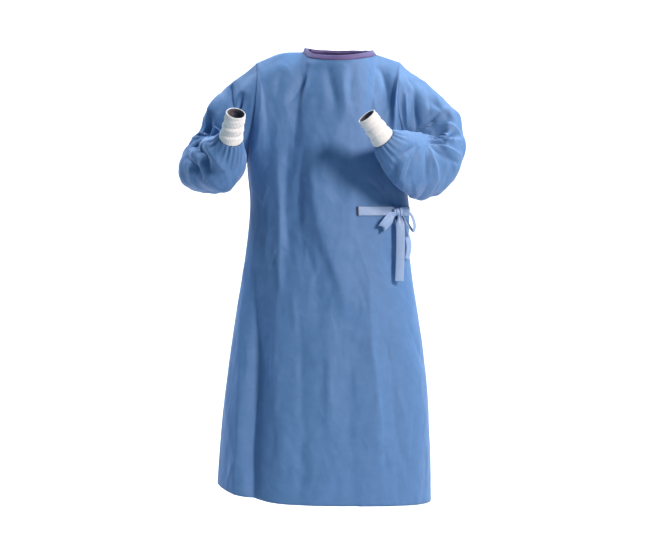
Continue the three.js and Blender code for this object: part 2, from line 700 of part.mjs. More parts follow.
for (const panel of PANELS) {
  const own = normalsOf(panel.rows, false);
  panel.normals = own.map((row, r) => row.map((normal, c) => sharedNormal(panel.plain[r][c], normal)));
  trimPanel(panel);
  addPiece(panel.name, wall(panel.rows, inwards(panel.rows, panel.normals, CLOTH), false), CLOTH_BLUE);
}
for (const { name, line, plain } of SLEEVES) {
  const normals = normalsOf(plain, true);
  normals[0] = plain[0].map((on, c) => sharedNormal(on, normals[0][c]));
  const rows = plain.map((row) => row.map((on) => on.clone()));
  trims(plain[0], normals[0], plain[1], true).forEach((move, c) => rows[0][c].add(move));
  addPiece(`sleeve_${name}`, wall(rows, inwards(rows, normals, CLOTH), true), CLOTH_BLUE);
  const knit = cuffRows(line);
  addPiece(`cuff_${name}`, wall(knit, inwards(knit, normalsOf(knit, true), KNIT), true), KNIT_WHITE);
}

// Neck binding: a folded strip that stands on the neck edge, from the free edge of the right back panel
// round the front to the free edge of the left one.
function neckEdge(panel, from, to) {
  const top = panel.rows.length - 1;
  return panel.rows[top].slice(from, to + 1).map((on, i) => ({ on, normal: panel.normals[top][from + i] }));
}
const frontNeckFrom = ARMHOLE_STEPS + SHOULDER_STEPS;
const NECK_EDGE = [
  ...neckEdge(BACK_RIGHT, 0, pastCentre),
  ...neckEdge(FRONT, frontNeckFrom + 1, frontNeckFrom + NECK_STEPS - 1),
  ...neckEdge(BACK_LEFT, frontNeckFrom, frontNeckFrom + pastCentre),
];
function bindingRows(offset) {
  const tangents = NECK_EDGE.map((_, i) => {
    const before = NECK_EDGE[Math.max(i - 1, 0)];
    const after = NECK_EDGE[Math.min(i + 1, NECK_EDGE.length - 1)];
    return after.on.clone().sub(before.on).normalize();
  });
  return [BINDING_CLEAR, BINDING_HEIGHT / 2, BINDING_HEIGHT].map((height) =>
    NECK_EDGE.map(({ on, normal }, i) => {
      const towardsNeck = normal.clone().cross(tangents[i]).normalize();
      return on.clone().addScaledVector(towardsNeck, height).addScaledVector(normal, offset);
    }),
  );
}
addPiece(
  "neck_binding",
  wall(bindingRows(BINDING_FOLD), bindingRows(-CLOTH - BINDING_FOLD), false),
  BINDING_PURPLE,
);

// Belt: a strip tacked to the front, and one that comes round the left side from the back panel that
// lies on top. Both follow the cloth under them.
function panelPoint(panel, column, height) {
  const [c, share] = [Math.min(Math.floor(column), panel.columns.length - 2), column % 1];
  const onColumn = (i) => {
    const r = panel.rows.findLastIndex((row) => row[i].z <= height);
    const [low, high] = [panel.rows[r][i], panel.rows[r + 1][i]];
    const t = (height - low.z) / (high.z - low.z);
    const on = low.clone().lerp(high, t);
    return { on, normal: panel.normals[r][i].clone().lerp(panel.normals[r + 1][i], t) };
  };
  const [a, b] = [onColumn(c), onColumn(Math.min(c + 1, panel.columns.length - 1))];
  return { on: a.on.lerp(b.on, share || 0), normal: a.normal.lerp(b.normal, share || 0).normalize() };
}
function beltOn(stops, lift) {
  const rows = [-BELT_WIDTH / 2, 0, BELT_WIDTH / 2].map((rise) =>
    stops.map(({ panel, column }) => {
      const { on, normal } = panelPoint(panel, column, BELT_HEIGHT + rise);
      return { on: on.addScaledVector(normal, lift), normal };
    }),
  );
  const moved = ({ on, normal }, depth) => on.clone().addScaledVector(normal, depth);
  const at = (depth) => rows.map((row) => row.map((place) => moved(place, depth)));
  return wall(at(TAPE), at(0), false);
}

// The front's column whose cloth has this x at the belt.
function frontColumnAt(x) {
  const last = FRONT.columns.length - 1;
  const ends = [0, last];
  while (ends[1] - ends[0] > 0.001) {
    const middle = (ends[0] + ends[1]) / 2;
    ends[panelPoint(FRONT, middle, BELT_HEIGHT).on.x < x ? 0 : 1] = middle;
  }
  return ends[0];
}
const frontStops = (from, to, steps) =>
  Array.from({ length: steps + 1 }, (_, i) => ({ panel: FRONT, column: lerp(from, to, i / steps) }));
const knotLeft = frontColumnAt(KNOT.x - KNOT_HALF.x - SEAM_GAP);
const knotRight = frontColumnAt(KNOT.x + KNOT_HALF.x + SEAM_GAP);
const beltFrontStops = frontStops(frontColumnAt(BELT_FROM), knotLeft, BELT_STEPS);
addPiece("belt_front", beltOn(beltFrontStops, BELT_CLEAR), BELT_BLUE);

const overEdge = BACK_LEFT.columns.findIndex((column) => column.angle >= BACK_RIGHT.columns[0].angle);
const backStops = Array.from({ length: BELT_BACK_STEPS }, (_, i) => ({
  panel: BACK_LEFT,
  column: lerp(0, overEdge - BELT_SHORT, (i + 1) / BELT_BACK_STEPS),
}));
const roundSide = [...frontStops(knotRight, FRONT.columns.length - 1, BELT_STEPS), ...backStops];
addPiece("belt_back", beltOn(roundSide, BELT_CLEAR), BELT_BLUE);

// Knot, loops and loose ends
const knot = new THREE.SphereGeometry(1, ...KNOT_STEPS);
knot.scale(...KNOT_HALF.toArray());
knot.translate(...KNOT.toArray());
addPiece("belt_knot", knot, BELT_BLUE);

function ribbon({ across, path, loop }) {
  const curve = new THREE.CatmullRomCurve3(path.map((on) => on.clone().add(KNOT)), false, "centripetal");
  const length = curve.getLength();
  const columns = Array.from({ length: RIBBON_STEPS + 1 }, (_, i) => {
    const share = i / RIBBON_STEPS;
    const tangent = curve.getTangentAt(share);
    const side = across.clone().addScaledVector(tangent, -across.dot(tangent)).normalize();
    const fromKnot = length * (loop ? Math.min(share, 1 - share) : share);
    const half = (BELT_WIDTH / 2) * lerp(TUCK, 1, smooth(fromKnot, 0, TUCK_LENGTH));
    return { on: curve.getPointAt(share), side, half, face: tangent.cross(side) };
  });
  const at = (depth) =>
    [-1, 0, 1].map((offset) =>
      columns.map(({ on, side, half, face }) =>
        on.clone().addScaledVector(side, offset * half).addScaledVector(face, depth),
      ),
    );
  return wall(at(TAPE / 2), at(-TAPE / 2), false);
}
for (const [name, piece] of Object.entries(BOW)) {
  addPiece(name, ribbon(piece), BELT_BLUE);
}

export default gown;
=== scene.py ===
import math

import bpy
import numpy as np
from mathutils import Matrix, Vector, noise


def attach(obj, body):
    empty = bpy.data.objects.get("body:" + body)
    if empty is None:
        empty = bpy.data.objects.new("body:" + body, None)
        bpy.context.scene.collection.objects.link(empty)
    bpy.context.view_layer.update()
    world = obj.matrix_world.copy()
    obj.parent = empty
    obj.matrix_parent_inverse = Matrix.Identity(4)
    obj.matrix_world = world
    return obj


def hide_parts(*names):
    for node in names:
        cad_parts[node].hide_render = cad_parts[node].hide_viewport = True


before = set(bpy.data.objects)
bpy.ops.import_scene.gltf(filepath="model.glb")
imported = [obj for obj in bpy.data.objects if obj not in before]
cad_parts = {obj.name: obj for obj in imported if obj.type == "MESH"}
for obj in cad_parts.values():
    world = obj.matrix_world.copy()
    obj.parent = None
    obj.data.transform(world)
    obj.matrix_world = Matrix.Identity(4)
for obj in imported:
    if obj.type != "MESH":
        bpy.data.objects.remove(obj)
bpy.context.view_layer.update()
bpy.ops.object.select_all(action="DESELECT")
scene = bpy.context.scene


# Camera: straight in front and a little above the hips, on a long lens, so that the gown fills the
# picture's height as it does in the photo.
CAMERA_TARGET = Vector((0, 0, -0.59))
CAMERA_DISTANCE = 3.2
CAMERA_RISE = math.radians(3)
CAMERA_LENS, CAMERA_SENSOR, CAMERA_REACH = 66.6, 36, 60
bpy.ops.object.camera_add(
    location=CAMERA_TARGET + CAMERA_DISTANCE * Vector((0, -math.cos(CAMERA_RISE), math.sin(CAMERA_RISE))),
    rotation=(math.pi / 2 - CAMERA_RISE, 0, 0),
)
camera = bpy.context.object
camera.name = "camera"
camera.data.lens = CAMERA_LENS
camera.data.sensor_width = CAMERA_SENSOR
camera.data.clip_end = CAMERA_REACH
scene.camera = camera


# Studio: a pale floor that sweeps up into a backdrop with its own lights, one soft key light high on the
# viewer's right, a broad weak fill on the left and a little pale light from all round.
FLOOR_HEIGHT = -1.52
STUDIO_WHITE = (0.62, 0.62, 0.62, 1)
SWEEP_HALF_WIDTH = 12


def add_light(name, place, target, size, energy, colour):
    way = Vector(target) - Vector(place)
    bpy.ops.object.light_add(type="AREA", location=place, rotation=way.to_track_quat("-Z", "Y").to_euler())
    light = bpy.context.object
    light.name = name
    light.data.shape = "DISK"
    light.data.size = size
    light.data.energy = energy
    light.data.color = colour


def sweep_profile(steps=16):
    front, back, wall, radius = -7.0, 5.0, 9.0, 2.0
    turn = [math.radians(90 * i / steps) for i in range(steps + 1)]
    bend = [(back - radius + radius * math.sin(a), radius - radius * math.cos(a)) for a in turn]
    return [(front, 0.0), *bend, (back, wall)]


sweep = bpy.data.meshes.new("studio_floor")
profile = sweep_profile()
sweep.from_pydata(
    [(x, y, FLOOR_HEIGHT + z) for y, z in profile for x in (-SWEEP_HALF_WIDTH, SWEEP_HALF_WIDTH)],
    [],
    [(2 * i, 2 * i + 1, 2 * i + 3, 2 * i + 2) for i in range(len(profile) - 1)],
)
sweep.polygons.foreach_set("use_smooth", [True] * len(sweep.polygons))
floor = bpy.data.objects.new("studio_floor", sweep)
scene.collection.objects.link(floor)
paper = bpy.data.materials.new("studio_paper")
paper.use_nodes = True
paper.node_tree.nodes["Principled BSDF"].inputs["Base Color"].default_value = STUDIO_WHITE
paper.node_tree.nodes["Principled BSDF"].inputs["Roughness"].default_value = 0.9
sweep.materials.append(paper)

add_light("key", (3.0, -3.0, 1.75), (0.05, 0, -0.5), 1.2, 365, (1.0, 0.71, 0.58))
add_light("fill", (-2.8, -2.2, 0.1), (0, 0, -0.6), 2.0, 3, (0.4, 0.75, 1.0))
add_light("backdrop_left", (-2.2, 1.3, 2.6), (-1.4, 4.2, -1.3), 2.4, 330, (0.78, 0.9, 1.0))
add_light("backdrop_right", (2.2, 1.3, 2.6), (1.4, 4.2, -1.3), 2.4, 330, (0.78, 0.9, 1.0))
world = bpy.data.worlds.new("studio_air")
world.use_nodes = True
world.node_tree.nodes["Background"].inputs["Color"].default_value = (0.62, 0.86, 1.0, 1)
world.node_tree.nodes["Background"].inputs["Strength"].default_value = 0.2
scene.world = world
scene.view_settings.view_transform = "Standard"


# Front panel: one piece of blue nonwoven from the hem to the neck, with the shoulder slopes and half of
# each armhole cut into it. It is sewn to the back panels at the sides and shoulders and to both sleeves.
# Sizes are in millimetres here, as the cutter's are, and become metres when a sheet is made.
CLOTH_THICK = 0.8
BODY_RINGS = {  # the gown's form from hem to chest
    "height": (-1200, -988, -844, -699, -539, -420, -290),
    "centre": (0, 5, 8, 8, 9, 14, 8),
    "half_width": (291, 279, 265, 244, 219, 212, 210),
    "front": (178, 170, 161, 151, 141, 136, 137),
    "back": (168, 158, 148, 138, 126, 119, 120),
    "turn": (8, 6, 4, 2, 0, -3, -5),
}
BODY_SQUARENESS = 0.9
HEM_LINE = {
    "angle": (0, 30, 60, 85, 110, 130, 160, 190, 270, 345, 360),
    "height": (-1139, -1150, -1164, -1170, -1178, -1186, -1196, -1199, -1172, -1134, -1139),
}
CHEST_HEIGHT = -420
CHEST_RUN = 30
LOWER_ROWS, UPPER_ROWS = 14 * 7, 12 * 7
ARMHOLE_STEPS, SHOULDER_STEPS, NECK_STEPS, BACK_NECK_STEPS = 10 * 6, 3 * 6, 6 * 6, 3 * 6
RIGHT = {
    "sign": -1,
    "tip": (-176, -26, -31),
    "shoulder": (-112, -18, -5),
    "neck": (-55, -9, -1),
    "underarm": (-204, -8, -292),
    "front": [(-192, -70, -228), (-178, -84, -150), (-174, -64, -82)],
    "back": [(-188, 58, -228), (-172, 72, -150), (-170, 46, -82)],
}
LEFT = {
    "sign": 1,
    "tip": (203, 36, -22),
    "shoulder": (170, 31, -12),
    "neck": (138, 22, -3),
    "underarm": (214, 8, -286),
    "front": [(206, -52, -224), (192, -66, -146), (196, -36, -74)],
    "back": [(204, 74, -224), (190, 98, -146), (196, 84, -74)],
}
FRONT_NECK = [(-34, -54, -20), (44, -78, -28), (112, -44, -17)]
BACK_NECK = [(114, 66, 2), (36, 74, 3), (-34, 50, 3)]
TIP_ANGLE, NECK_ANGLE = 48, 66  # of the shoulder tip and the neck point, round the body from its side
RISE_UNDERARM, RISE_TIP = (0, 0, 1), (0.25, 0.85, 0.5)
RISE_NECK_POINT, RISE_NECK = (0, 0.75, 0.65), (0, 0.4, 0.9)

# Creases of the front: start and end across and up, bow of the middle to one side, half width on the
# viewer's left and right where they run down, and height, a trough where that is negative.
FRONT_CREASES = [
    (-41, -34, -87, -142, 6, 9, 15, -10),
    (-110, -50, -120, -130, 0, 18, 22, -5),
    (3, -38, 33, -165, 3, 14, 20, -13),
    (42, -38, 58, -195, 0, 18, 24, 9),
    (72, -38, 69, -150, 0, 10, 16, -7),
    (150, -40, 160, -160, 10, 12, 18, -13),
    (184, -75, 186, -200, 0, 16, 14, 4),
    (-15, -120, -15, -200, 0, 16, 18, -3),
    (-86, -215, -84, -560, -14, 20, 34, -8),
    (-120, -260, -112, -640, 2, 26, 14, 9),
    (-44, -230, -46, -540, -22, 26, 22, -7),
    (-36, -205, 60, -700, -18, 34, 110, 19),
    (178, -408, 100, -335, -6, 6, 8, -3),
    (180, -404, 124, -318, -4, 5, 7, -3),
    (184, -402, 152, -320, 0, 5, 7, -3),
    (172, -414, 90, -380, 4, 6, 6, 2),
    (-178, -570, -186, -1290, -8, 22, 60, -32),
    (-112, -560, -106, -1120, -22, 16, 40, 6),
    (-216, -620, -236, -1280, 4, 18, 16, 8),
    (10, -780, 14, -960, 0, 5, 7, 3),
    (16, -720, 18, -790, 0, 6, 5, -2.5),
    (116, -580, 156, -1160, -4, 44, 14, 9),
    (166, -620, 200, -1240, -2, 22, 30, -5),
    (20, -640, 14, -1000, 0, 26, 26, 5),
    (-60, -700, -66, -1200, 8, 24, 22, -5),
    (70, -660, 80, -1220, -8, 22, 26, -4),
    (-58, -490, -20, -600, 6, 8, 10, -3),
    (-22, -500, 24, -620, 8, 8, 10, -2.5),
    (36, -470, 10, -600, -6, 9, 8, -2.5),
    (190, -225, 196, -410, 0, 40, 40, -12),
]
CREASE_EDGE = 30
CREASE_POWER, CREASE_FALL, CREASE_FADE = 1.35, 1.5, 0.7
WANDER, WANDER_LENGTH = 0.05, 70
HANDLING_COUNT, HANDLING_LOW, HANDLING_HIGH = 85, (-240, -1130), (240, -70)
HANDLING_LENGTH, HANDLING_WIDTH, HANDLING_HEIGHT = (35, 150), (4, 9), (1.0, 2.6)
HANDLING_LEAN, HANDLING_BOW = 0.28, 5
PANEL_CRUMPLE_PITCH, PANEL_CRUMPLE_HEIGHT = 62, 2.6


def smooth(value, low, high):
    share = np.clip((value - low) / (high - low), 0, 1)
    return share * share * (3 - 2 * share)


def unit(vectors):
    vectors = np.asarray(vectors, float)
    return vectors / np.maximum(np.linalg.norm(vectors, axis=-1, keepdims=True), 1e-9)


# The other columns of a table at values of its key, eased between its rows.
def eased(table, key, value):
    keys = np.array(table[key], float)
    value = np.clip(value, keys[0], keys[-1])
    i = np.clip(np.searchsorted(keys, value, side="right") - 1, 0, len(keys) - 2)
    before, after = np.maximum(i - 1, 0), np.minimum(i + 2, len(keys) - 1)
    span = keys[i + 1] - keys[i]
    t = (value - keys[i]) / span
    out = {}
    for name, column in table.items():
        v = np.array(column, float)
        slope_from = (v[i + 1] - v[before]) / (keys[i + 1] - keys[before]) * span
        slope_to = (v[after] - v[i]) / (keys[after] - keys[i]) * span
        rise = v[i + 1] - v[i]
        out[name] = v[i] + t * (
            slope_from + t * (3 * rise - 2 * slope_from - slope_to + t * (slope_from + slope_to - 2 * rise))
        )
    return out


# Points on the body's form: the angle runs from the wearer's right by the front and the left to the back.
def body_points(angle, height):
    ring = eased(BODY_RINGS, "height", height)
    cos, sin = np.cos(np.radians(angle)), np.sin(np.radians(angle))
    across = -np.sign(cos) * np.abs(cos) ** BODY_SQUARENESS * ring["half_width"]
    ahead = np.sign(sin) * np.abs(sin) ** BODY_SQUARENESS
    depth = -ahead * np.where(ahead > 0, ring["front"], ring["back"])
    turn = np.radians(ring["turn"])
    x = across * np.cos(turn) - depth * np.sin(turn) + ring["centre"]
    return np.stack([x, across * np.sin(turn) + depth * np.cos(turn), height + 0 * x], axis=-1)


# Evenly spread points on a smooth curve through the given ones.
def along_curve(points, steps, fine=80):
    p = np.array(points, float)
    p = np.vstack([2 * p[0] - p[1], p, 2 * p[-1] - p[-2]])
    t = np.linspace(0, 1, fine, endpoint=False)[:, None]
    run = []
    for a, b, c, d in zip(p, p[1:], p[2:], p[3:]):
        ab, bc, cd = (math.sqrt(np.linalg.norm(v)) for v in (b - a, c - b, d - c))
        start = ((b - a) / ab - (c - a) / (ab + bc) + (c - b) / bc) * bc
        end = ((c - b) / bc - (d - b) / (bc + cd) + (d - c) / cd) * bc
        run.append(b + t * (start + t * (3 * (c - b) - 2 * start - end + t * (2 * (b - c) + start + end))))
    run = np.vstack([*run, p[-2]])
    length = np.concatenate([[0], np.cumsum(np.linalg.norm(np.diff(run, axis=0), axis=1))])
    at = np.linspace(0, length[-1], steps + 1)
    return np.stack([np.interp(at, length, run[:, k]) for k in range(3)], axis=1)


# One stretch of a panel's top edge: each column's angle low on the body, its top, and the way it rises.
def stretch(points, steps, angles, rises):
    share = np.linspace(0, 1, steps + 1)[:, None]
    rise = unit(np.array(rises[0]) * (1 - share) + np.array(rises[1]) * share)
    return np.hstack([angles[0] + (angles[1] - angles[0]) * share, along_curve(points, steps), rise])


def joined(*parts):
    return np.vstack([part if i == 0 else part[1:] for i, part in enumerate(parts)])


# Columns from the underarm to the neck point; facing is 1 on the front and -1 on the back.
def side_columns(side, half, angles, facing):
    turned = np.array([1, facing, 1])
    tip = np.array([side["sign"], 1, 1]) * RISE_TIP * turned
    armhole = [side["underarm"], *side[half], side["tip"]]
    shoulder = [side["tip"], side["shoulder"], side["neck"]]
    return joined(
        stretch(armhole, ARMHOLE_STEPS, angles[:2], [RISE_UNDERARM, tip]),
        stretch(shoulder, SHOULDER_STEPS, angles[1:], [tip, RISE_NECK_POINT * turned]),
    )


# Rows of points from the hem to the top edge.
def panel_rows(columns):
    angle, top, rise = columns[:, 0], columns[:, 1:4], columns[:, 4:7]
    hem = eased(HEM_LINE, "angle", angle)["height"]
    share = np.linspace(0, 1, LOWER_ROWS, endpoint=False)[:, None]
    lower = body_points(angle[None, :] + 0 * share, hem + (CHEST_HEIGHT - hem) * share)
    chest = body_points(angle, np.full_like(angle, CHEST_HEIGHT))
    below = body_points(angle, np.full_like(angle, CHEST_HEIGHT - CHEST_RUN))
    reach = np.linalg.norm(top - chest, axis=1, keepdims=True) / 3
    start, end = chest + unit(chest - below) * reach, top - rise * reach
    t = np.linspace(0, 1, UPPER_ROWS + 1)[:, None, None]
    upper = (1 - t) ** 3 * chest + 3 * t * (1 - t) ** 2 * start + 3 * t * t * (1 - t) * end + t**3 * top
    return np.concatenate([lower, upper])


# Outward normals of rows of points, which close on themselves where they are rings.
def normals_of(rows, closed=False):
    if closed:
        across = np.roll(rows, -1, axis=1) - np.roll(rows, 1, axis=1)
    else:
        across = np.gradient(rows, axis=1)
    return unit(np.cross(across, np.gradient(rows, axis=0)))


# Height of creases at places on the front or the back.
def crease_height(creases, x, z):
    height = np.zeros_like(x)
    for x0, z0, x1, z1, bow, left, right, high in creases:
        length = math.hypot(x1 - x0, z1 - z0)
        share = ((x - x0) * (x1 - x0) + (z - z0) * (z1 - z0)) / length**2
        inside = np.clip(share, 0, 1)
        wander = WANDER * (left + right) * np.sin(inside * length / WANDER_LENGTH + x0)
        straight = ((z - z0) * (x1 - x0) - (x - x0) * (z1 - z0)) / length
        off = straight - bow * 4 * inside * (1 - inside) - wander
        fade = np.sin(math.pi * inside) ** CREASE_FADE
        wide = np.where(off < 0, left, right)
        height += high * fade * np.exp(-(np.abs(off / wide) ** CREASE_POWER) * CREASE_FALL)
    return height


# Small creases left by wearing and handling: many short narrow ones that mostly run down the cloth.
def handling_creases(count, low, high, seed):
    rng = np.random.default_rng(seed)
    out = []
    for _ in range(count):
        x, z = rng.uniform(low[0], high[0]), rng.uniform(low[1], high[1])
        length, lean = rng.uniform(*HANDLING_LENGTH), rng.normal(0, HANDLING_LEAN)
        wide, height = rng.uniform(*HANDLING_WIDTH), rng.choice((-1, 1)) * rng.uniform(*HANDLING_HEIGHT)
        bow = rng.uniform(-HANDLING_BOW, HANDLING_BOW)
        out.append((x, z, x + length * lean, z - length, bow, wide, wide * 1.5, height))
    return out


# Slack and crumple that no cut cloth is free of, the same in every run.
def crumple(points, pitch, height, seed):
    flat = points.reshape(-1, 3)
    shift = Vector((seed, 2 * seed, 3 * seed))
    stretched = Vector((1 / pitch, 1 / pitch, 0.45 / pitch))
    value = [noise.fractal(Vector(p) * stretched + shift, 0.9, 2.0, 3) for p in flat]
    crisp = [-abs(noise.noise(Vector(p) * stretched * 0.8 - shift)) for p in flat]
    return height * (0.6 * np.array(value) + np.array(crisp)).reshape(points.shape[:2])


# Distance of each point from a sewn edge.
def edge_distance(rows, edge):
    flat = rows.reshape(-1, 3)
    near = np.full(len(flat), np.inf)
    for part in np.array_split(np.arange(len(flat)), 24):
        near[part] = np.linalg.norm(flat[part][:, None] - edge[None], axis=2).min(axis=1)
    return near.reshape(rows.shape[:2])


# The cloth rolls in a little at a seam.
SEAM_ROLL, SEAM_ROLL_WIDTH = 0.35, 3.0


def seam_roll(distance):
    return -SEAM_ROLL * np.exp(-((distance / SEAM_ROLL_WIDTH) ** 2))


# A sheet of cloth as an object, with its own UV map in metres along the rows and columns. A last
# argument of 1 gives the inside a material of its own; the cuffs use it for painted shade.
def make_sheet(name, rows, closed=False, thick=CLOTH_THICK, inside_slot=0):
    rows = rows / 1000
    n, m = rows.shape[:2]
    r, c = np.meshgrid(np.arange(n - 1), np.arange(m if closed else m - 1), indexing="ij")
    right = (c + 1) % m
    corners = np.stack([r * m + c, r * m + right, (r + 1) * m + right, (r + 1) * m + c], axis=-1)
    mesh = bpy.data.meshes.new(name)
    mesh.from_pydata(rows.reshape(-1, 3), [], corners.reshape(-1, 4).tolist())
    row_gaps = np.linalg.norm(np.diff(rows, axis=0), axis=2)
    along = np.concatenate([np.zeros((1, m)), np.cumsum(row_gaps, axis=0)])
    ring = np.concatenate([rows, rows[:, :1]], axis=1) if closed else rows
    step = np.linalg.norm(np.diff(ring, axis=1), axis=2).mean(axis=0)
    across = np.concatenate([[0], np.cumsum(step)])
    u = np.stack([across[c], across[c + 1], across[c + 1], across[c]], axis=-1)
    v = np.stack([along[r, c], along[r, right], along[r + 1, right], along[r + 1, c]], axis=-1)
    mesh.uv_layers.new(name="cut").data.foreach_set("uv", np.stack([u, v], axis=-1).ravel())
    mesh.polygons.foreach_set("use_smooth", [True] * len(mesh.polygons))
    sheet = bpy.data.objects.new(name, mesh)
    scene.collection.objects.link(sheet)
    if thick:
        bpy.context.view_layer.objects.active = sheet
        wall = sheet.modifiers.new("thickness", "SOLIDIFY")
        wall.thickness = thick / 1000
        wall.offset = -1
        for _ in range(1 + inside_slot):
            mesh.materials.append(None)
        wall.material_offset = inside_slot
        bpy.ops.object.modifier_apply(modifier=wall.name)
    return sheet


# Shared by the cloths: bonded points pressed into a web of fibres, and the cloudy look of such a web.
def new_group(name, inputs, outputs):
    group = bpy.data.node_groups.new(name, "ShaderNodeTree")
    for socket, kind, value in inputs:
        made = group.interface.new_socket(socket, in_out="INPUT", socket_type=kind)
        if value is not None:
            made.default_value = value
    for socket, kind in outputs:
        group.interface.new_socket(socket, in_out="OUTPUT", socket_type=kind)
    return group, group.nodes.new("NodeGroupInput"), group.nodes.new("NodeGroupOutput")


def maths(tree, operation, *values):
    node = tree.nodes.new("ShaderNodeMath")
    node.operation = operation
    for socket, value in zip(node.inputs, values):
        if hasattr(value, "is_output"):
            tree.links.new(value, socket)
        else:
            socket.default_value = value
    return node.outputs[0]


def noise_at(tree, vector, scale, detail=2.0, roughness=0.5):
    node = tree.nodes.new("ShaderNodeTexNoise")
    tree.links.new(vector, node.inputs["Vector"])
    if hasattr(scale, "is_output"):
        tree.links.new(scale, node.inputs["Scale"])
    else:
        node.inputs["Scale"].default_value = scale
    node.inputs["Detail"].default_value = detail
    node.inputs["Roughness"].default_value = roughness
    return node.outputs["Fac"]


bonded_web, web_in, web_out = new_group(
    "bonded_web",
    [("Vector", "NodeSocketVector", None), ("Points per metre", "NodeSocketFloat", 520.0)],
    [("Points", "NodeSocketFloat"), ("Fibres", "NodeSocketFloat"), ("Clouds", "NodeSocketFloat")],
)
split = bonded_web.nodes.new("ShaderNodeSeparateXYZ")
bonded_web.links.new(web_in.outputs["Vector"], split.inputs[0])
turns = maths(bonded_web, "MULTIPLY", web_in.outputs["Points per metre"], math.pi)
wave_u = maths(bonded_web, "SINE", maths(bonded_web, "MULTIPLY", split.outputs["X"], turns))
wave_v = maths(bonded_web, "SINE", maths(bonded_web, "MULTIPLY", split.outputs["Y"], turns))
pressed = maths(bonded_web, "MULTIPLY", wave_u, wave_v)
bonded_web.links.new(maths(bonded_web, "SMOOTH_MAX", pressed, 0.35, 0.4), web_out.inputs["Points"])
fibres = noise_at(bonded_web, web_in.outputs["Vector"], 900.0, 4.0, 0.7)
bonded_web.links.new(fibres, web_out.inputs["Fibres"])
clouds = noise_at(bonded_web, web_in.outputs["Vector"], 34.0, 5.0, 0.6)
bonded_web.links.new(clouds, web_out.inputs["Clouds"])


# Small crisp creases of handled cloth, longer down the cloth than across it.
handled, handled_in, handled_out = new_group(
    "handled_creases", [("Vector", "NodeSocketVector", None)], [("Height", "NodeSocketFloat")]
)
bend_noise = handled.nodes.new("ShaderNodeTexNoise")
bend_noise.inputs["Scale"].default_value = 9.0
handled.links.new(handled_in.outputs["Vector"], bend_noise.inputs["Vector"])
bent = handled.nodes.new("ShaderNodeVectorMath")
bent.operation = "MULTIPLY_ADD"
bent.inputs[1].default_value = (0.10, 0.10, 0.10)
handled.links.new(bend_noise.outputs["Color"], bent.inputs[0])
handled.links.new(handled_in.outputs["Vector"], bent.inputs[2])
long_cells = handled.nodes.new("ShaderNodeVectorMath")
long_cells.operation = "MULTIPLY"
long_cells.inputs[1].default_value = (1.0, 1.0, 0.45)
handled.links.new(bent.outputs[0], long_cells.inputs[0])
facets = []
for cells_per_metre in (15.0, 34.0):
    cells = handled.nodes.new("ShaderNodeTexVoronoi")
    cells.inputs["Scale"].default_value = cells_per_metre
    handled.links.new(long_cells.outputs[0], cells.inputs["Vector"])
    facets.append(cells.outputs["Distance"])
both_sizes = maths(handled, "ADD", facets[0], maths(handled, "MULTIPLY", facets[1], 0.4))
handled.links.new(both_sizes, handled_out.inputs["Height"])


# Nonwoven cloth in one colour: pale clouds, fine fibres, bonded points and small creases.
def web_material(name, dark, light, roughness=0.74, bond=0.35, crease=0.5):
    made = bpy.data.materials.new(name)
    made.use_nodes = True
    tree = made.node_tree
    shader = tree.nodes["Principled BSDF"]
    place = tree.nodes.new("ShaderNodeTexCoord")
    web = tree.nodes.new("ShaderNodeGroup")
    web.node_tree = bonded_web
    tree.links.new(place.outputs["UV"], web.inputs["Vector"])
    tone = maths(tree, "ADD", maths(tree, "MULTIPLY", web.outputs["Clouds"], 0.7),
                 maths(tree, "MULTIPLY", web.outputs["Fibres"], 0.3))
    ramp = tree.nodes.new("ShaderNodeValToRGB")
    ramp.color_ramp.elements[0].position, ramp.color_ramp.elements[1].position = 0.3, 0.7
    ramp.color_ramp.elements[0].color, ramp.color_ramp.elements[1].color = (*dark, 1), (*light, 1)
    tree.links.new(tone, ramp.inputs["Fac"])
    tree.links.new(ramp.outputs["Color"], shader.inputs["Base Color"])
    shader.inputs["Roughness"].default_value = roughness
    shader.inputs["Specular IOR Level"].default_value = 0.75
    shader.inputs["Sheen Weight"].default_value = 0.12
    shader.inputs["Sheen Roughness"].default_value = 0.5
    creased = tree.nodes.new("ShaderNodeGroup")
    creased.node_tree = handled
    tree.links.new(place.outputs["Object"], creased.inputs["Vector"])
    height = maths(tree, "ADD", maths(tree, "MULTIPLY", web.outputs["Points"], bond),
                   maths(tree, "MULTIPLY", web.outputs["Fibres"], bond))
    fine = tree.nodes.new("ShaderNodeBump")
    fine.inputs["Strength"].default_value = 0.35
    fine.inputs["Distance"].default_value = 0.0003
    tree.links.new(height, fine.inputs["Height"])
    broad = tree.nodes.new("ShaderNodeBump")
    broad.inputs["Strength"].default_value = crease
    broad.inputs["Distance"].default_value = 0.007
    tree.links.new(creased.outputs["Height"], broad.inputs["Height"])
    tree.links.new(fine.outputs["Normal"], broad.inputs["Normal"])
    tree.links.new(broad.outputs["Normal"], shader.inputs["Normal"])
    return made


gown_blue = web_material("gown_blue", (0.024, 0.126, 0.335), (0.040, 0.158, 0.395))


# Rides the gown's one body and stands for its solid. The materials are the outside's and then the
# inside's, where that differs.
def fit(piece, nodes, slot, *materials):
    while len(piece.data.materials) < len(materials):
        piece.data.materials.append(None)
    for place, material in enumerate(materials):
        piece.data.materials[place] = material
    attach(piece, "root")
    if nodes:
        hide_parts(*nodes)


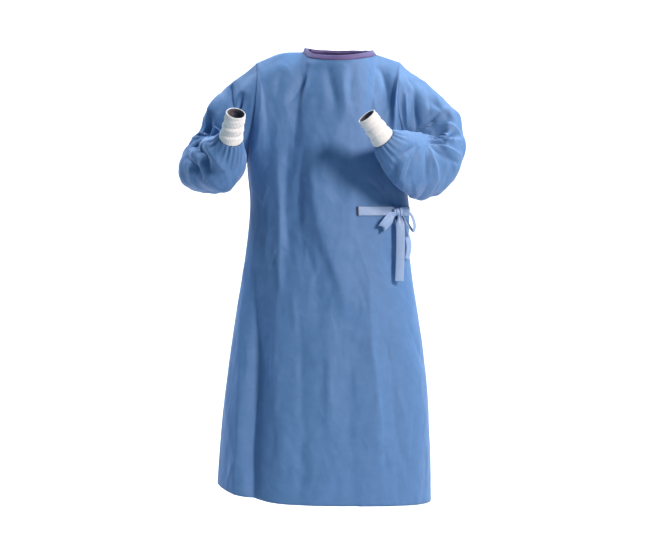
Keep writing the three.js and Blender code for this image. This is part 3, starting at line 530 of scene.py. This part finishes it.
front_columns = joined(
    side_columns(RIGHT, "front", (0, TIP_ANGLE, NECK_ANGLE), 1),
    stretch(
        [RIGHT["neck"], *FRONT_NECK, LEFT["neck"]],
        NECK_STEPS,
        (NECK_ANGLE, 180 - NECK_ANGLE),
        (RISE_NECK_POINT, RISE_NECK_POINT),
    ),
    side_columns(LEFT, "front", (180, 180 - TIP_ANGLE, 180 - NECK_ANGLE), 1)[::-1],
)
front_neck = slice(ARMHOLE_STEPS + SHOULDER_STEPS, ARMHOLE_STEPS + SHOULDER_STEPS + NECK_STEPS + 1)
neck_share = np.sin(np.linspace(0, math.pi, NECK_STEPS + 1))[:, None]
front_columns[front_neck, 4:7] = unit(
    front_columns[front_neck, 4:7] * (1 - neck_share) + np.array(RISE_NECK) * neck_share
)


# A panel with its creases, slack and seams; lift moves columns where the back panels overlap.
def creased_panel(columns, creases, sewn_edges, seed, lift=0.0):
    plain = panel_rows(columns)
    normals = normals_of(plain)
    sewn = edge_distance(plain, np.vstack([plain[r, c] for r, c in sewn_edges]))
    slack = crumple(plain, PANEL_CRUMPLE_PITCH, PANEL_CRUMPLE_HEIGHT, seed)
    raise_by = crease_height(creases, plain[..., 0], plain[..., 2]) + slack
    moved = raise_by * smooth(sewn, 0, CREASE_EDGE) + seam_roll(sewn) + lift
    return plain, plain + normals * moved[..., None]


every = slice(None)
front_small = handling_creases(HANDLING_COUNT, HANDLING_LOW, HANDLING_HIGH, 5)
front_sewn = [(-1, every), (every, 0), (every, -1)]
front_plain, front_rows = creased_panel(front_columns, FRONT_CREASES + front_small, front_sewn, 3)
front = make_sheet("front_panel", front_rows)
fit(front, ["front"], "cloth", gown_blue)


# Back panels: two pieces of the same nonwoven, sewn to the front at the sides and shoulders. They are
# open down the back, and the right one lies over the left one past the centre.
OVERLAP_ANGLE, OVERLAP_FADE, OVERLAP_LIFT = 16, 24, 2.6
OVERLAP_STEPS = 2 * 6
BACK_CREASES = [
    (-150, -470, -176, -1260, 6, 34, 40, -13),
    (-96, -440, -108, -1180, -6, 24, 34, 9),
    (110, -480, 126, -1240, 8, 38, 30, -13),
    (168, -450, 196, -1260, 4, 24, 34, 10),
    (-90, -90, -120, -330, 8, 24, 32, -8),
    (118, -90, 132, -330, -8, 32, 24, -8),
    (-40, -500, -52, -1190, 4, 22, 26, -6),
    (60, -470, 66, -1150, -6, 24, 20, 6),
    (-128, -300, -70, -440, 8, 14, 18, -6),
    (150, -290, 96, -430, -8, 18, 14, -6),
    (-60, -60, -50, -210, -4, 14, 18, -4),
    (86, -60, 84, -230, 4, 18, 14, -4),
    (-190, -560, -226, -1200, -4, 20, 24, 7),
]
back_rise = np.array(RISE_NECK_POINT) * (1, -1, 1)
back_neck = stretch(
    [LEFT["neck"], *BACK_NECK, RIGHT["neck"]],
    2 * BACK_NECK_STEPS,
    (180 + NECK_ANGLE, 360 - NECK_ANGLE),
    (back_rise, back_rise),
)
past_centre = BACK_NECK_STEPS + OVERLAP_STEPS
left_side = side_columns(LEFT, "back", (180, 180 + TIP_ANGLE, 180 + NECK_ANGLE), -1)
right_side = side_columns(RIGHT, "back", (360, 360 - TIP_ANGLE, 360 - NECK_ANGLE), -1)
back_left_columns = joined(left_side, back_neck[: past_centre + 1])
back_right_columns = joined(back_neck[-past_centre - 1:], right_side[::-1])


def back_lift(columns):
    return OVERLAP_LIFT * (1 - smooth(np.abs(columns[:, 0] - 270), OVERLAP_ANGLE, OVERLAP_FADE))


back_creases = BACK_CREASES + handling_creases(HANDLING_COUNT, HANDLING_LOW, HANDLING_HIGH, 9)
back_left_sewn = [(-1, slice(0, ARMHOLE_STEPS + SHOULDER_STEPS)), (every, 0)]
back_left_plain, back_left_rows = creased_panel(
    back_left_columns, back_creases, back_left_sewn, 7, -back_lift(back_left_columns)
)
back_right_sewn = [(-1, slice(-ARMHOLE_STEPS - SHOULDER_STEPS, None)), (every, -1)]
back_right_plain, back_right_rows = creased_panel(
    back_right_columns, back_creases, back_right_sewn, 11, back_lift(back_right_columns)
)
back_left = make_sheet("back_left_panel", back_left_rows)
back_right = make_sheet("back_right_panel", back_right_rows)
for panel, node in ((back_left, "back_left"), (back_right, "back_right")):
    fit(panel, [node], "cloth", gown_blue)


# Sleeves: each cut in one piece, set into the armhole and gathered into its cuff. They bend at the elbow,
# where the cloth is pushed into folds that run out from the bend's inner side.
ELBOW_ROUND, WRIST_ROUND, CUFF_LENGTH = 88, 70, 72
SLEEVE_LINES = {
    "right": [(-181, -4, -160), (-352, 6, -330), (-229, -262, -254), (-211, -310, -186)],
    "left": [(205, 20, -154), (372, 26, -338), (154, -222, -252), (104, -250, -188)],
}
SLEEVE_TWIST = (0.35, 0.75)
SLEEVE_SECTIONS = {
    "right": {
        "share": (0, 0.15, 0.3, 0.5, 0.68, 0.82, 0.94, 1),
        "bend": (84, 82, 78, 74, 72, 66, 43, 30),
        "over": (118, 110, 78, 70, 70, 62, 43, 30),
        "under": (100, 66, 64, 70, 80, 80, 46, 30),
        "hang": (0, 0, 0, 1, 12, 20, 8, 0),
    },
    "left": {
        "share": (0, 0.15, 0.3, 0.5, 0.68, 0.82, 0.94, 1),
        "bend": (84, 84, 80, 60, 48, 48, 43, 30),
        "over": (122, 124, 104, 94, 82, 66, 45, 30),
        "under": (100, 62, 62, 80, 86, 76, 46, 30),
        "hang": (0, 0, 0, 15, 16, 12, 4, 0),
    },
}
ARMHOLE_FADE = 0.26
# Folds: the turn round the sleeve and the share of its length at both ends, the half width in degrees
# on either side, and the height.
SLEEVE_FOLDS = {
    "right": [
        (250, 0.2, 290, 0.52, 20, 34, -8),
        (318, 0.3, 300, 0.62, 18, 26, -7),
        (20, 0.36, 40, 0.74, 24, 30, -6),
        (200, 0.5, 232, 0.9, 22, 34, -7),
        (110, 0.4, 96, 0.8, 34, 36, 6),
    ],
    "left": [
        (112, 0.2, 74, 0.5, 20, 30, -9),
        (42, 0.24, 60, 0.56, 20, 26, -8),
        (340, 0.36, 322, 0.74, 26, 32, -7),
        (160, 0.5, 128, 0.88, 26, 34, -8),
        (248, 0.4, 262, 0.8, 34, 36, 6),
    ],
}
# Creases on the side that faces forward, as on the front: they run out from the inside of the elbow.
SLEEVE_CREASES = {
    "right": [
        (-249, -80, -236, -165, 0, 8, 14, -18),
        (-334, -240, -277, -328, 4, 10, 16, -24),
        (-296, -160, -344, -262, 6, 16, 18, -18),
        (-212, -110, -250, -215, 4, 10, 14, -18),
        (-292, -244, -238, -322, -2, 12, 14, 18),
        (-325, -212, -262, -236, 0, 8, 10, -15),
        (-348, -280, -300, -346, 0, 10, 12, -15),
        (-270, -110, -318, -190, 0, 12, 14, 14),
    ],
    "left": [
        (241, -218, 238, -104, 3, 12, 8, -13),
        (198, -182, 189, -100, 0, 10, 7, -10),
        (217, -208, 212, -108, 2, 9, 9, 9),
        (266, -229, 358, -218, -4, 7, 10, -13),
        (266, -243, 312, -243, 0, 7, 9, -13),
        (274, -236, 362, -234, 0, 7, 7, 9),
        (266, -250, 360, -300, -3, 8, 10, -12),
        (270, -246, 362, -276, 0, 8, 8, 9),
        (260, -252, 257, -348, 3, 10, 9, -11),
        (266, -254, 292, -352, 0, 9, 9, 8),
        (234, -250, 168, -294, 3, 8, 10, -9),
        (243, -258, 200, -346, 0, 9, 11, -9),
        (302, -158, 270, -206, 0, 9, 11, -10),
        (276, -120, 344, -200, 0, 16, 18, -7),
        (318, -150, 350, -196, 0, 12, 12, 6),
    ],
}
GATHERS, GATHER_HEIGHT, GATHER_FROM = 17, 1.7, 0.88
SLEEVE_CRUMPLE_PITCH, SLEEVE_CRUMPLE_HEIGHT = 52, 4.5
SLEEVE_HANDLING, SLEEVE_LOW, SLEEVE_HIGH = 40, -330, -40
SLEEVE_RINGS, SLEEVE_POINTS = 190, 2 * ARMHOLE_STEPS


# A path whose corners are rounded, as fine points with their distances.
def rounded_path(corners, rounds, fine=120):
    corners = np.array(corners, float)
    run = [corners[:1]]
    t = np.linspace(0, 1, fine)[:, None]
    for i, radius in enumerate(rounds, 1):
        back, on = unit(corners[i - 1] - corners[i]), unit(corners[i + 1] - corners[i])
        opening = math.acos(float(back @ on))
        leg = radius / math.tan(opening / 2)
        handle = leg - 4 / 3 * math.tan((math.pi - opening) / 4) * radius
        places = ((back, leg), (back, handle), (on, handle), (on, leg))
        a, b, c, d = (corners[i] + way * x for way, x in places)
        run.append((1 - t) ** 3 * a + 3 * t * (1 - t) ** 2 * b + 3 * t * t * (1 - t) * c + t**3 * d)
    path = np.vstack([*run, corners[-1:]])
    length = np.concatenate([[0], np.cumsum(np.linalg.norm(np.diff(path, axis=0), axis=1))])
    even = np.linspace(0, length[-1], 1200)
    return even, np.stack([np.interp(even, length, path[:, k]) for k in range(3)], axis=1)


# Centres and section directions of a sleeve at distances along its line.
class SleeveLine:
    def __init__(self, name, sign):
        corners = np.array(SLEEVE_LINES[name], float)
        self.distance, self.path = rounded_path(corners, (ELBOW_ROUND, WRIST_ROUND))
        self.sleeve_length = self.distance[-1] - CUFF_LENGTH
        outward = unit(np.cross(corners[1] - corners[0], corners[2] - corners[1]))
        self.outward = outward if outward[0] * sign > 0 else -outward
        self.tangents = unit(np.gradient(self.path, axis=0))

    def frames(self, distance):
        def pick(values):
            return np.stack([np.interp(distance, self.distance, values[:, k]) for k in range(3)], axis=-1)

        tangent = unit(pick(self.tangents))
        upright = smooth(distance / self.sleeve_length, *SLEEVE_TWIST)[..., None]
        over = self.outward * (1 - upright) + np.array([0, 0, 1.0]) * upright
        over = unit(over - tangent * (over * tangent).sum(axis=-1, keepdims=True))
        return pick(self.path), over, np.cross(tangent, over)


def fold_height(folds, turn, share):
    height = np.zeros(np.broadcast(turn, share).shape)
    for turn0, share0, turn1, share1, low, high_side, high in folds:
        along = np.clip((share - share0) / (share1 - share0), 0, 1)
        off = (turn - (turn0 + (turn1 - turn0) * along) + 180) % 360 - 180
        wide = np.where(off < 0, low, high_side)
        height += high * np.sin(math.pi * along) * np.exp(-((off / wide) ** 2) * 1.6)
    return height


# Crisp facets where the bend pushes the cloth together, strongest beside the inner side of the elbow.
BUCKLE_HEIGHT, BUCKLES_ROUND, BUCKLES_ALONG = 8.0, 3, 3.4
BUCKLE_CENTRE, BUCKLE_SPREAD = 0.45, 0.27


def buckles(turn, share, inner, seed):
    shifted = turn + 0.35 * np.sin(9 * share + seed) + 0.2 * np.sin(2 * turn + 14 * share)
    up = np.abs(np.sin(BUCKLES_ROUND * shifted / 2 + 2 * math.pi * BUCKLES_ALONG * share + seed))
    down = np.abs(np.sin(BUCKLES_ROUND * shifted - 2 * math.pi * BUCKLES_ALONG * share * 0.8))
    facing = 0.5 + 0.5 * np.cos(turn - inner)
    near = np.exp(-(((share - BUCKLE_CENTRE) / BUCKLE_SPREAD) ** 2)) * (0.5 + facing - facing**4)
    return BUCKLE_HEIGHT * near * (0.65 - up + 0.6 * (down - 0.65))


def ring_points(centre, over_way, bend_way, turn, bend, over, under, raise_by):
    cos, sin = np.cos(turn), np.sin(turn)
    tall = np.where(cos > 0, over, under)
    up, side = (tall + raise_by) * cos, (bend + raise_by) * sin
    return centre + over_way * up[..., None] + bend_way * side[..., None]


def sleeve_rows(name, armhole, line, seed):
    share = np.linspace(0, 1, SLEEVE_RINGS + 1)[:, None]
    turn = np.linspace(0, 2 * math.pi, SLEEVE_POINTS, endpoint=False)[None, :]
    section = eased(SLEEVE_SECTIONS[name], "share", share)
    centre, over_way, bend_way = (v[:, None] for v in line.frames(share[:, 0] * line.sleeve_length))
    centre = centre - section["hang"][..., None] * np.array([0, 0, 1.0])
    uneven = 1 + 0.5 * np.sin(3 * turn + seed) + 0.4 * np.sin(5 * turn)
    waves = np.cos(GATHERS * turn + 0.6 * np.sin(2 * turn))
    gather = GATHER_HEIGHT * smooth(share, GATHER_FROM, 1) * uneven * waves
    inner = math.radians(90 if name == "left" else 270)
    folds = fold_height(SLEEVE_FOLDS[name], np.degrees(turn), share)
    raise_by = folds + gather + buckles(turn, share, inner, seed)
    radii = (section["bend"], section["over"], section["under"])
    rings = ring_points(centre, over_way, bend_way, turn, *radii, raise_by)
    fade = (1 - smooth(share, 0, ARMHOLE_FADE))[..., None]
    carried = armhole[None] - line.frames(np.array([0.0]))[0][0] + centre
    rings = rings * (1 - fade) + carried * fade
    normals = normals_of(rings, True)
    forward = smooth(-normals[..., 1], 0.0, 0.45)
    low, high = (rings[..., 0].min(), SLEEVE_LOW), (rings[..., 0].max(), SLEEVE_HIGH)
    small = handling_creases(SLEEVE_HANDLING, low, high, seed)
    creased = forward * crease_height(SLEEVE_CREASES[name] + small, rings[..., 0], rings[..., 2])
    crumpled = crumple(rings, SLEEVE_CRUMPLE_PITCH, SLEEVE_CRUMPLE_HEIGHT, seed)
    slack = (crumpled + creased) * smooth(share, 0, 0.06) * (1 - smooth(share, 0.9, 1))
    roll = seam_roll(share * line.sleeve_length + 0 * turn)
    return rings + normals * (slack + roll)[..., None]


# The armhole's loop from the shoulder tip, the way round that makes the sleeve face out.
def loop_of(down, up):
    return np.vstack([down[: ARMHOLE_STEPS + 1][::-1], up[1:ARMHOLE_STEPS]])


armholes = {
    "left": loop_of(front_plain[-1][::-1], back_left_plain[-1]),
    "right": loop_of(back_right_plain[-1][::-1], front_plain[-1]),
}
sleeve_lines = {"left": SleeveLine("left", 1), "right": SleeveLine("right", -1)}
for side, seed in (("left", 17), ("right", 23)):
    rows = sleeve_rows(side, armholes[side], sleeve_lines[side], seed)
    sleeve = make_sheet(f"{side}_sleeve", rows, closed=True)
    fit(sleeve, [f"sleeve_{side}"], "cloth", gown_blue)


# Cuffs: tubes of white rib knit, sewn into the sleeve ends and slouched into soft rings. Their insides
# are the same white knit painted dark: painted shade for the shadow that fills the mouths.
KNIT_THICK = 2.0
CUFF_SECTIONS = {
    "share": (0, 0.15, 0.3, 0.45, 0.6, 0.75, 1),
    "radius": (29, 28.5, 25.5, 27, 24, 25, 23.5),
}
CUFF_RIBS, RIB_HEIGHT, CUFF_RINGS, CUFF_POINTS = 44, 0.45, 64, 44 * 6
CUFF_GAP = 0.3


def knit_material(name, dark, light):
    made = bpy.data.materials.new(name)
    made.use_nodes = True
    tree = made.node_tree
    shader = tree.nodes["Principled BSDF"]
    place = tree.nodes.new("ShaderNodeTexCoord")
    parts = tree.nodes.new("ShaderNodeSeparateXYZ")
    tree.links.new(place.outputs["UV"], parts.inputs[0])
    leg = maths(tree, "ABSOLUTE", maths(tree, "SINE", maths(tree, "MULTIPLY", parts.outputs["X"], 2400.0)))
    height = maths(tree, "MULTIPLY", parts.outputs["Y"], 3600.0)
    course = maths(tree, "ADD", height, maths(tree, "MULTIPLY", leg, 1.6))
    stitch = maths(tree, "MULTIPLY", maths(tree, "ADD", maths(tree, "SINE", course), 1.0), leg)
    fuzz = noise_at(tree, place.outputs["UV"], 1400.0, 3.0, 0.6)
    ramp = tree.nodes.new("ShaderNodeValToRGB")
    ramp.color_ramp.elements[0].color, ramp.color_ramp.elements[1].color = (*dark, 1), (*light, 1)
    ramp.color_ramp.elements[1].position = 0.8
    tone = maths(tree, "ADD", maths(tree, "MULTIPLY", stitch, 0.4), maths(tree, "MULTIPLY", fuzz, 0.4))
    tree.links.new(tone, ramp.inputs["Fac"])
    tree.links.new(ramp.outputs["Color"], shader.inputs["Base Color"])
    shader.inputs["Roughness"].default_value = 0.95
    shader.inputs["Specular IOR Level"].default_value = 0.2
    shader.inputs["Sheen Weight"].default_value = 0.3
    bump = tree.nodes.new("ShaderNodeBump")
    bump.inputs["Strength"].default_value = 0.6
    bump.inputs["Distance"].default_value = 0.0008
    tree.links.new(maths(tree, "ADD", stitch, maths(tree, "MULTIPLY", fuzz, 0.5)), bump.inputs["Height"])
    tree.links.new(bump.outputs["Normal"], shader.inputs["Normal"])
    return made


knit_white = knit_material("knit_white", (0.50, 0.61, 0.72), (0.80, 0.95, 1.0))
# The inside's colours are painted shade: dark greys that stand for the shadow inside the cuffs, not a darker
# knit.
knit_inside_painted_shade = knit_material("knit_inside_painted_shade", (0.07, 0.08, 0.13), (0.13, 0.15, 0.21))


def cuff_rows(line):
    share = np.linspace(0, 1, CUFF_RINGS + 1)[:, None]
    turn = np.linspace(0, 2 * math.pi, CUFF_POINTS, endpoint=False)[None, :]
    at = line.sleeve_length + CUFF_GAP + share[:, 0] * (CUFF_LENGTH - CUFF_GAP)
    centre, over_way, bend_way = (v[:, None] for v in line.frames(at))
    radius = eased(CUFF_SECTIONS, "share", share)["radius"] + 0.5 * np.sin(share * 40 + 2 * np.sin(turn))
    rib = RIB_HEIGHT * np.cos(CUFF_RIBS * turn)
    return ring_points(centre, over_way, bend_way, turn, radius, radius, radius, rib)


for side, line in sleeve_lines.items():
    cuff = make_sheet(f"{side}_cuff", cuff_rows(line), closed=True, thick=KNIT_THICK, inside_slot=1)
    fit(cuff, [f"cuff_{side}"], "knit", knit_white, knit_inside_painted_shade)


# Neck binding: a purple strip of nonwoven folded over the neck's raw edge, from one back edge round the
# front to the other, and topstitched near its lower edge.
BINDING_THICK = 0.4
BINDING_SECTION = [  # up from the neck edge, and out from the cloth
    (-3, 0.75), (2, 0.95), (8, 1.05), (10.8, 0.95), (11.9, 0.3), (12.1, -0.4),
    (11.9, -1.1), (10.8, -1.7), (8, -1.75), (2, -1.65), (-3, -1.4),
]
STITCH_LENGTH, STITCH_GAP, THREAD_RADIUS = 2.6, 0.8, 0.28
STITCH_UP, STITCH_OUT, STITCH_FIRST, STITCH_LAST = -0.9, 1.15, 3, 4


def top_edge(rows, first, last):
    return np.stack([rows[-1, first:last], normals_of(rows)[-1, first:last]], axis=1)


neck_first = ARMHOLE_STEPS + SHOULDER_STEPS
neck_edge = np.concatenate([
    top_edge(back_right_rows, 0, past_centre + 1),
    top_edge(front_rows, neck_first + 1, neck_first + NECK_STEPS),
    top_edge(back_left_rows, neck_first, None),
])
neck_way = unit(np.gradient(neck_edge[:, 0], axis=0))
neck_up = unit(np.cross(neck_edge[:, 1], neck_way))
neck_run = np.cumsum(np.linalg.norm(np.gradient(neck_edge[:, 0], axis=0), axis=1))


def on_neck(up, out):
    pucker = 0.22 * np.sin(neck_run / 1.9) * np.sin(neck_run / 23)
    return neck_edge[:, 0] + neck_up * up + neck_edge[:, 1] * (out + np.sign(out) * pucker)[:, None]


# Threads as short closed rods: each runs from one point to another.
def make_threads(name, ends, radius, sides=6):
    points, faces = [], []
    for start, end in ends:
        start, end = np.array(start), np.array(end)
        way = unit(end - start)
        side = unit(np.cross(way, (0.3, 0.5, 0.81)))
        other = np.cross(way, side)
        first = len(points)
        tip = way * radius * 0.6
        for at, wide in ((start - tip, 0.5), (start, 1), (end, 1), (end + tip, 0.5)):
            for k in range(sides):
                a = 2 * math.pi * k / sides
                points.append(at + radius * wide * (side * math.cos(a) + other * math.sin(a)))
        for ring in range(3):
            for k in range(sides):
                low, on = first + ring * sides, (k + 1) % sides
                faces.append((low + k, low + on, low + sides + on, low + sides + k))
        faces.append(tuple(range(first + sides - 1, first - 1, -1)))
        faces.append(tuple(range(first + 3 * sides, first + 4 * sides)))
    mesh = bpy.data.meshes.new(name)
    mesh.from_pydata([tuple(p / 1000) for p in points], [], faces)
    mesh.polygons.foreach_set("use_smooth", [True] * len(mesh.polygons))
    made = bpy.data.objects.new(name, mesh)
    scene.collection.objects.link(made)
    return made


binding_rows = np.stack([on_neck(up, np.full(len(neck_run), out)) for up, out in BINDING_SECTION])
binding = make_sheet("neck_binding_strip", binding_rows[::-1], thick=0)
bpy.context.view_layer.objects.active = binding
fold = binding.modifiers.new("thickness", "SOLIDIFY")
fold.thickness = BINDING_THICK / 1000
fold.offset = 0
bpy.ops.object.modifier_apply(modifier=fold.name)
binding_purple = web_material("binding_purple", (0.046, 0.038, 0.170), (0.068, 0.058, 0.225), 0.75, 0.5, 0.2)
fit(binding, ["neck_binding"], "binding", binding_purple)

stitch_line = on_neck(STITCH_UP, np.full(len(neck_run), STITCH_OUT))
starts = np.arange(STITCH_FIRST, neck_run[-1] - STITCH_LAST, STITCH_LENGTH + STITCH_GAP)


def on_line(line, run, at):
    return np.stack([np.interp(at, run, line[:, k]) for k in range(3)], axis=-1)


stitches = make_threads(
    "binding_stitches",
    zip(on_line(stitch_line, neck_run, starts), on_line(stitch_line, neck_run, starts + STITCH_LENGTH)),
    THREAD_RADIUS,
)
thread_purple = web_material("thread_purple", (0.075, 0.055, 0.21), (0.11, 0.085, 0.29), 0.6, 0.6, 0.0)
fit(stitches, [], "binding", thread_purple)


# Belt: doubled strips of paler nonwoven. One is bar-tacked to the front, the other comes round the left
# side from the over panel at the back, and they meet in the knot.
BELT_WIDTH, BELT_HEIGHT, BELT_FROM, BELT_OFF, BELT_THICK = 23, -420, 82, 1.7, 0.9
KNOT, KNOT_HALF = np.array([190.0, -105.0, -423.0]), np.array([13.0, 9.0, 11.0])
BELT_ROWS = 9
TACK_THREADS, TACK_HALF, TACK_RADIUS = 24, (2.0, 0, 0.3), 0.62


def at_height(rows, height):
    normals = normals_of(rows)
    return np.array([
        [[np.interp(height, rows[:, c, 2], part[:, c, k]) for k in range(3)] for part in (rows, normals)]
        for c in range(rows.shape[1])
    ])


# A strip on the cloth at the belt's height, between two x on the front or on round the side.
def belt_rows(strips, seed):
    out = []
    for rise in np.linspace(-BELT_WIDTH / 2, BELT_WIDTH / 2, BELT_ROWS):
        level = BELT_HEIGHT + rise
        line = np.concatenate([at_height(rows, level)[first:last] for rows, first, last in strips])
        run = np.cumsum(np.linalg.norm(np.gradient(line[:, 0], axis=0), axis=1))
        ripple = 0.35 * np.sin(run / 17 + seed) * np.sin(run / 41) + 0.25 * np.cos(rise / 5 + run / 29)
        edge = 0.3 * (abs(rise) / (BELT_WIDTH / 2)) ** 6
        out.append(line[:, 0] + unit(line[:, 1]) * (BELT_OFF + ripple + edge)[:, None])
    return np.stack(out)


belt_x = at_height(front_rows, BELT_HEIGHT)[:, 0, 0]
tack_column = int(np.searchsorted(belt_x, BELT_FROM))
knot_columns = [int(np.searchsorted(belt_x, KNOT[0] + side * KNOT_HALF[0] * 0.6)) for side in (-1, 1)]
over_edge = int(np.searchsorted(back_left_columns[:, 0], back_right_columns[0, 0])) - 1
belt_front = make_sheet(
    "belt_front_strip",
    belt_rows([(front_rows, tack_column, knot_columns[0])], 1),
    thick=BELT_THICK,
)
belt_back = make_sheet(
    "belt_back_strip",
    belt_rows([(front_rows, knot_columns[1], -1), (back_left_rows, 0, over_edge)], 4),
    thick=BELT_THICK,
)
belt_blue = web_material("belt_blue", (0.130, 0.265, 0.500), (0.175, 0.330, 0.590), 0.6, 0.35, 0.15)
for strip, node in ((belt_front, "belt_front"), (belt_back, "belt_back")):
    fit(strip, [node], "belt", belt_blue)

tack_places = belt_rows([(front_rows, tack_column, tack_column + 3)], 1)
tack_low, tack_high = tack_places[0, 0] + (2, -0.7, 0.6), tack_places[-1, 0] + (2, -0.7, -0.6)
tack_middles = [tack_low + (tack_high - tack_low) * t for t in np.linspace(0, 1, TACK_THREADS)]
tack_ends = [(m - TACK_HALF, m + TACK_HALF) for m in tack_middles]
bar_tack = make_threads("belt_bar_tack", tack_ends, TACK_RADIUS)
thread_navy = web_material("thread_navy", (0.010, 0.016, 0.045), (0.02, 0.03, 0.075), 0.5, 0.6, 0.0)
fit(bar_tack, [], "belt", thread_navy)


# Knot: the belt's nonwoven, one tie wrapped tight round the other, with the creases of the pull across it.
# It is modelled as the closed outside of the wrap.
KNOT_ROUND, KNOT_ALONG = 72, 40
along = np.linspace(-1, 1, KNOT_ALONG + 1)[:, None]
turn = np.linspace(0, 2 * math.pi, KNOT_ROUND, endpoint=False)[None, :]
barrel = np.sqrt(np.maximum(1 - np.abs(along) ** 3.2, 0.0)) * (1 - 0.10 * np.cos(along * math.pi))
pull = 0.09 * np.cos(along * 9 + 1.3 * np.sin(turn)) + 0.05 * np.sin(along * 17 - 2 * np.cos(turn + 0.6))
reach = np.maximum(barrel * (1 + pull), 0.04)
knot_rows = KNOT + np.stack(
    [
        along * KNOT_HALF[0] + 0 * turn,
        -reach * KNOT_HALF[1] * np.cos(turn),
        reach * KNOT_HALF[2] * np.sin(turn),
    ],
    axis=-1,
)
knot = make_sheet("belt_knot_wrap", knot_rows, closed=True, thick=0)
fit(knot, ["belt_knot"], "belt", belt_blue)


# Bow and ends: two loops and two loose ends of the belt hang from the knot, each pulled narrow where it
# leaves it.
RIBBON_STEPS, RIBBON_ACROSS, TUCK, TUCK_LENGTH, RIBBON_CURL = 90, 10, 0.35, 20, 1.1
BOW = {
    "bow_loop_front": ((-0.62, -0.5, 0.6), True, [
        (-8.6, -7.2, -2.3), (-20, -21, -10), (-34, -29, -25), (-41, -26, -36), (-34, -18, -33),
        (-20, -8, -20), (-8.7, -1.3, -8.8)]),
    "bow_loop_side": ((0.4, 0.92, 0), True, [
        (11.3, 7.3, 1.6), (25, 9, 4), (38, 9, -9), (46, 9, -36), (41, 9, -51), (30, 9, -38), (18, 8, -18),
        (9.7, 4.4, -6.1)]),
    "tie_end_long": ((0.99, 0.12, 0), False, [
        (2.7, -3.9, -9.8), (6, -8, -32), (7, -8, -70), (6, -8, -120), (4, -9, -177)]),
    "tie_end_short": ((0.6, 0.8, 0), False, [
        (5.1, 5.3, -8.7), (10, 18, -22), (20, 33, -43), (29, 36, -64), (33, 36, -92), (28, 34, -121)]),
}


def ribbon_rows(across, loop, path, seed):
    middle = along_curve([KNOT + p for p in path], RIBBON_STEPS)
    tangent = unit(np.gradient(middle, axis=0))
    run = np.concatenate([[0], np.cumsum(np.linalg.norm(np.diff(middle, axis=0), axis=1))])
    side = unit(np.array(across) - tangent * (tangent @ np.array(across))[:, None])
    face = np.cross(tangent, side)
    from_knot = np.minimum(run, run[-1] - run) if loop else run
    half = BELT_WIDTH / 2 * (TUCK + (1 - TUCK) * smooth(from_knot, 0, TUCK_LENGTH))
    gather = 1 - smooth(from_knot, 0, TUCK_LENGTH * 1.6)
    out = []
    for offset in np.linspace(-1, 1, RIBBON_ACROSS + 1):
        ripple = 0.5 * np.sin(run / 21 + seed + offset) + gather * 1.6 * np.cos(offset * 5 + seed)
        lift = ripple - RIBBON_CURL * offset**2
        out.append(middle + side * (offset * half)[:, None] + face * lift[:, None])
    return np.stack(out)


for seed, (node, (across, loop, path)) in enumerate(BOW.items()):
    ribbon = make_sheet(f"{node}_ribbon", ribbon_rows(across, loop, path, seed), thick=BELT_THICK)
    fit(ribbon, [node], "belt", belt_blue)
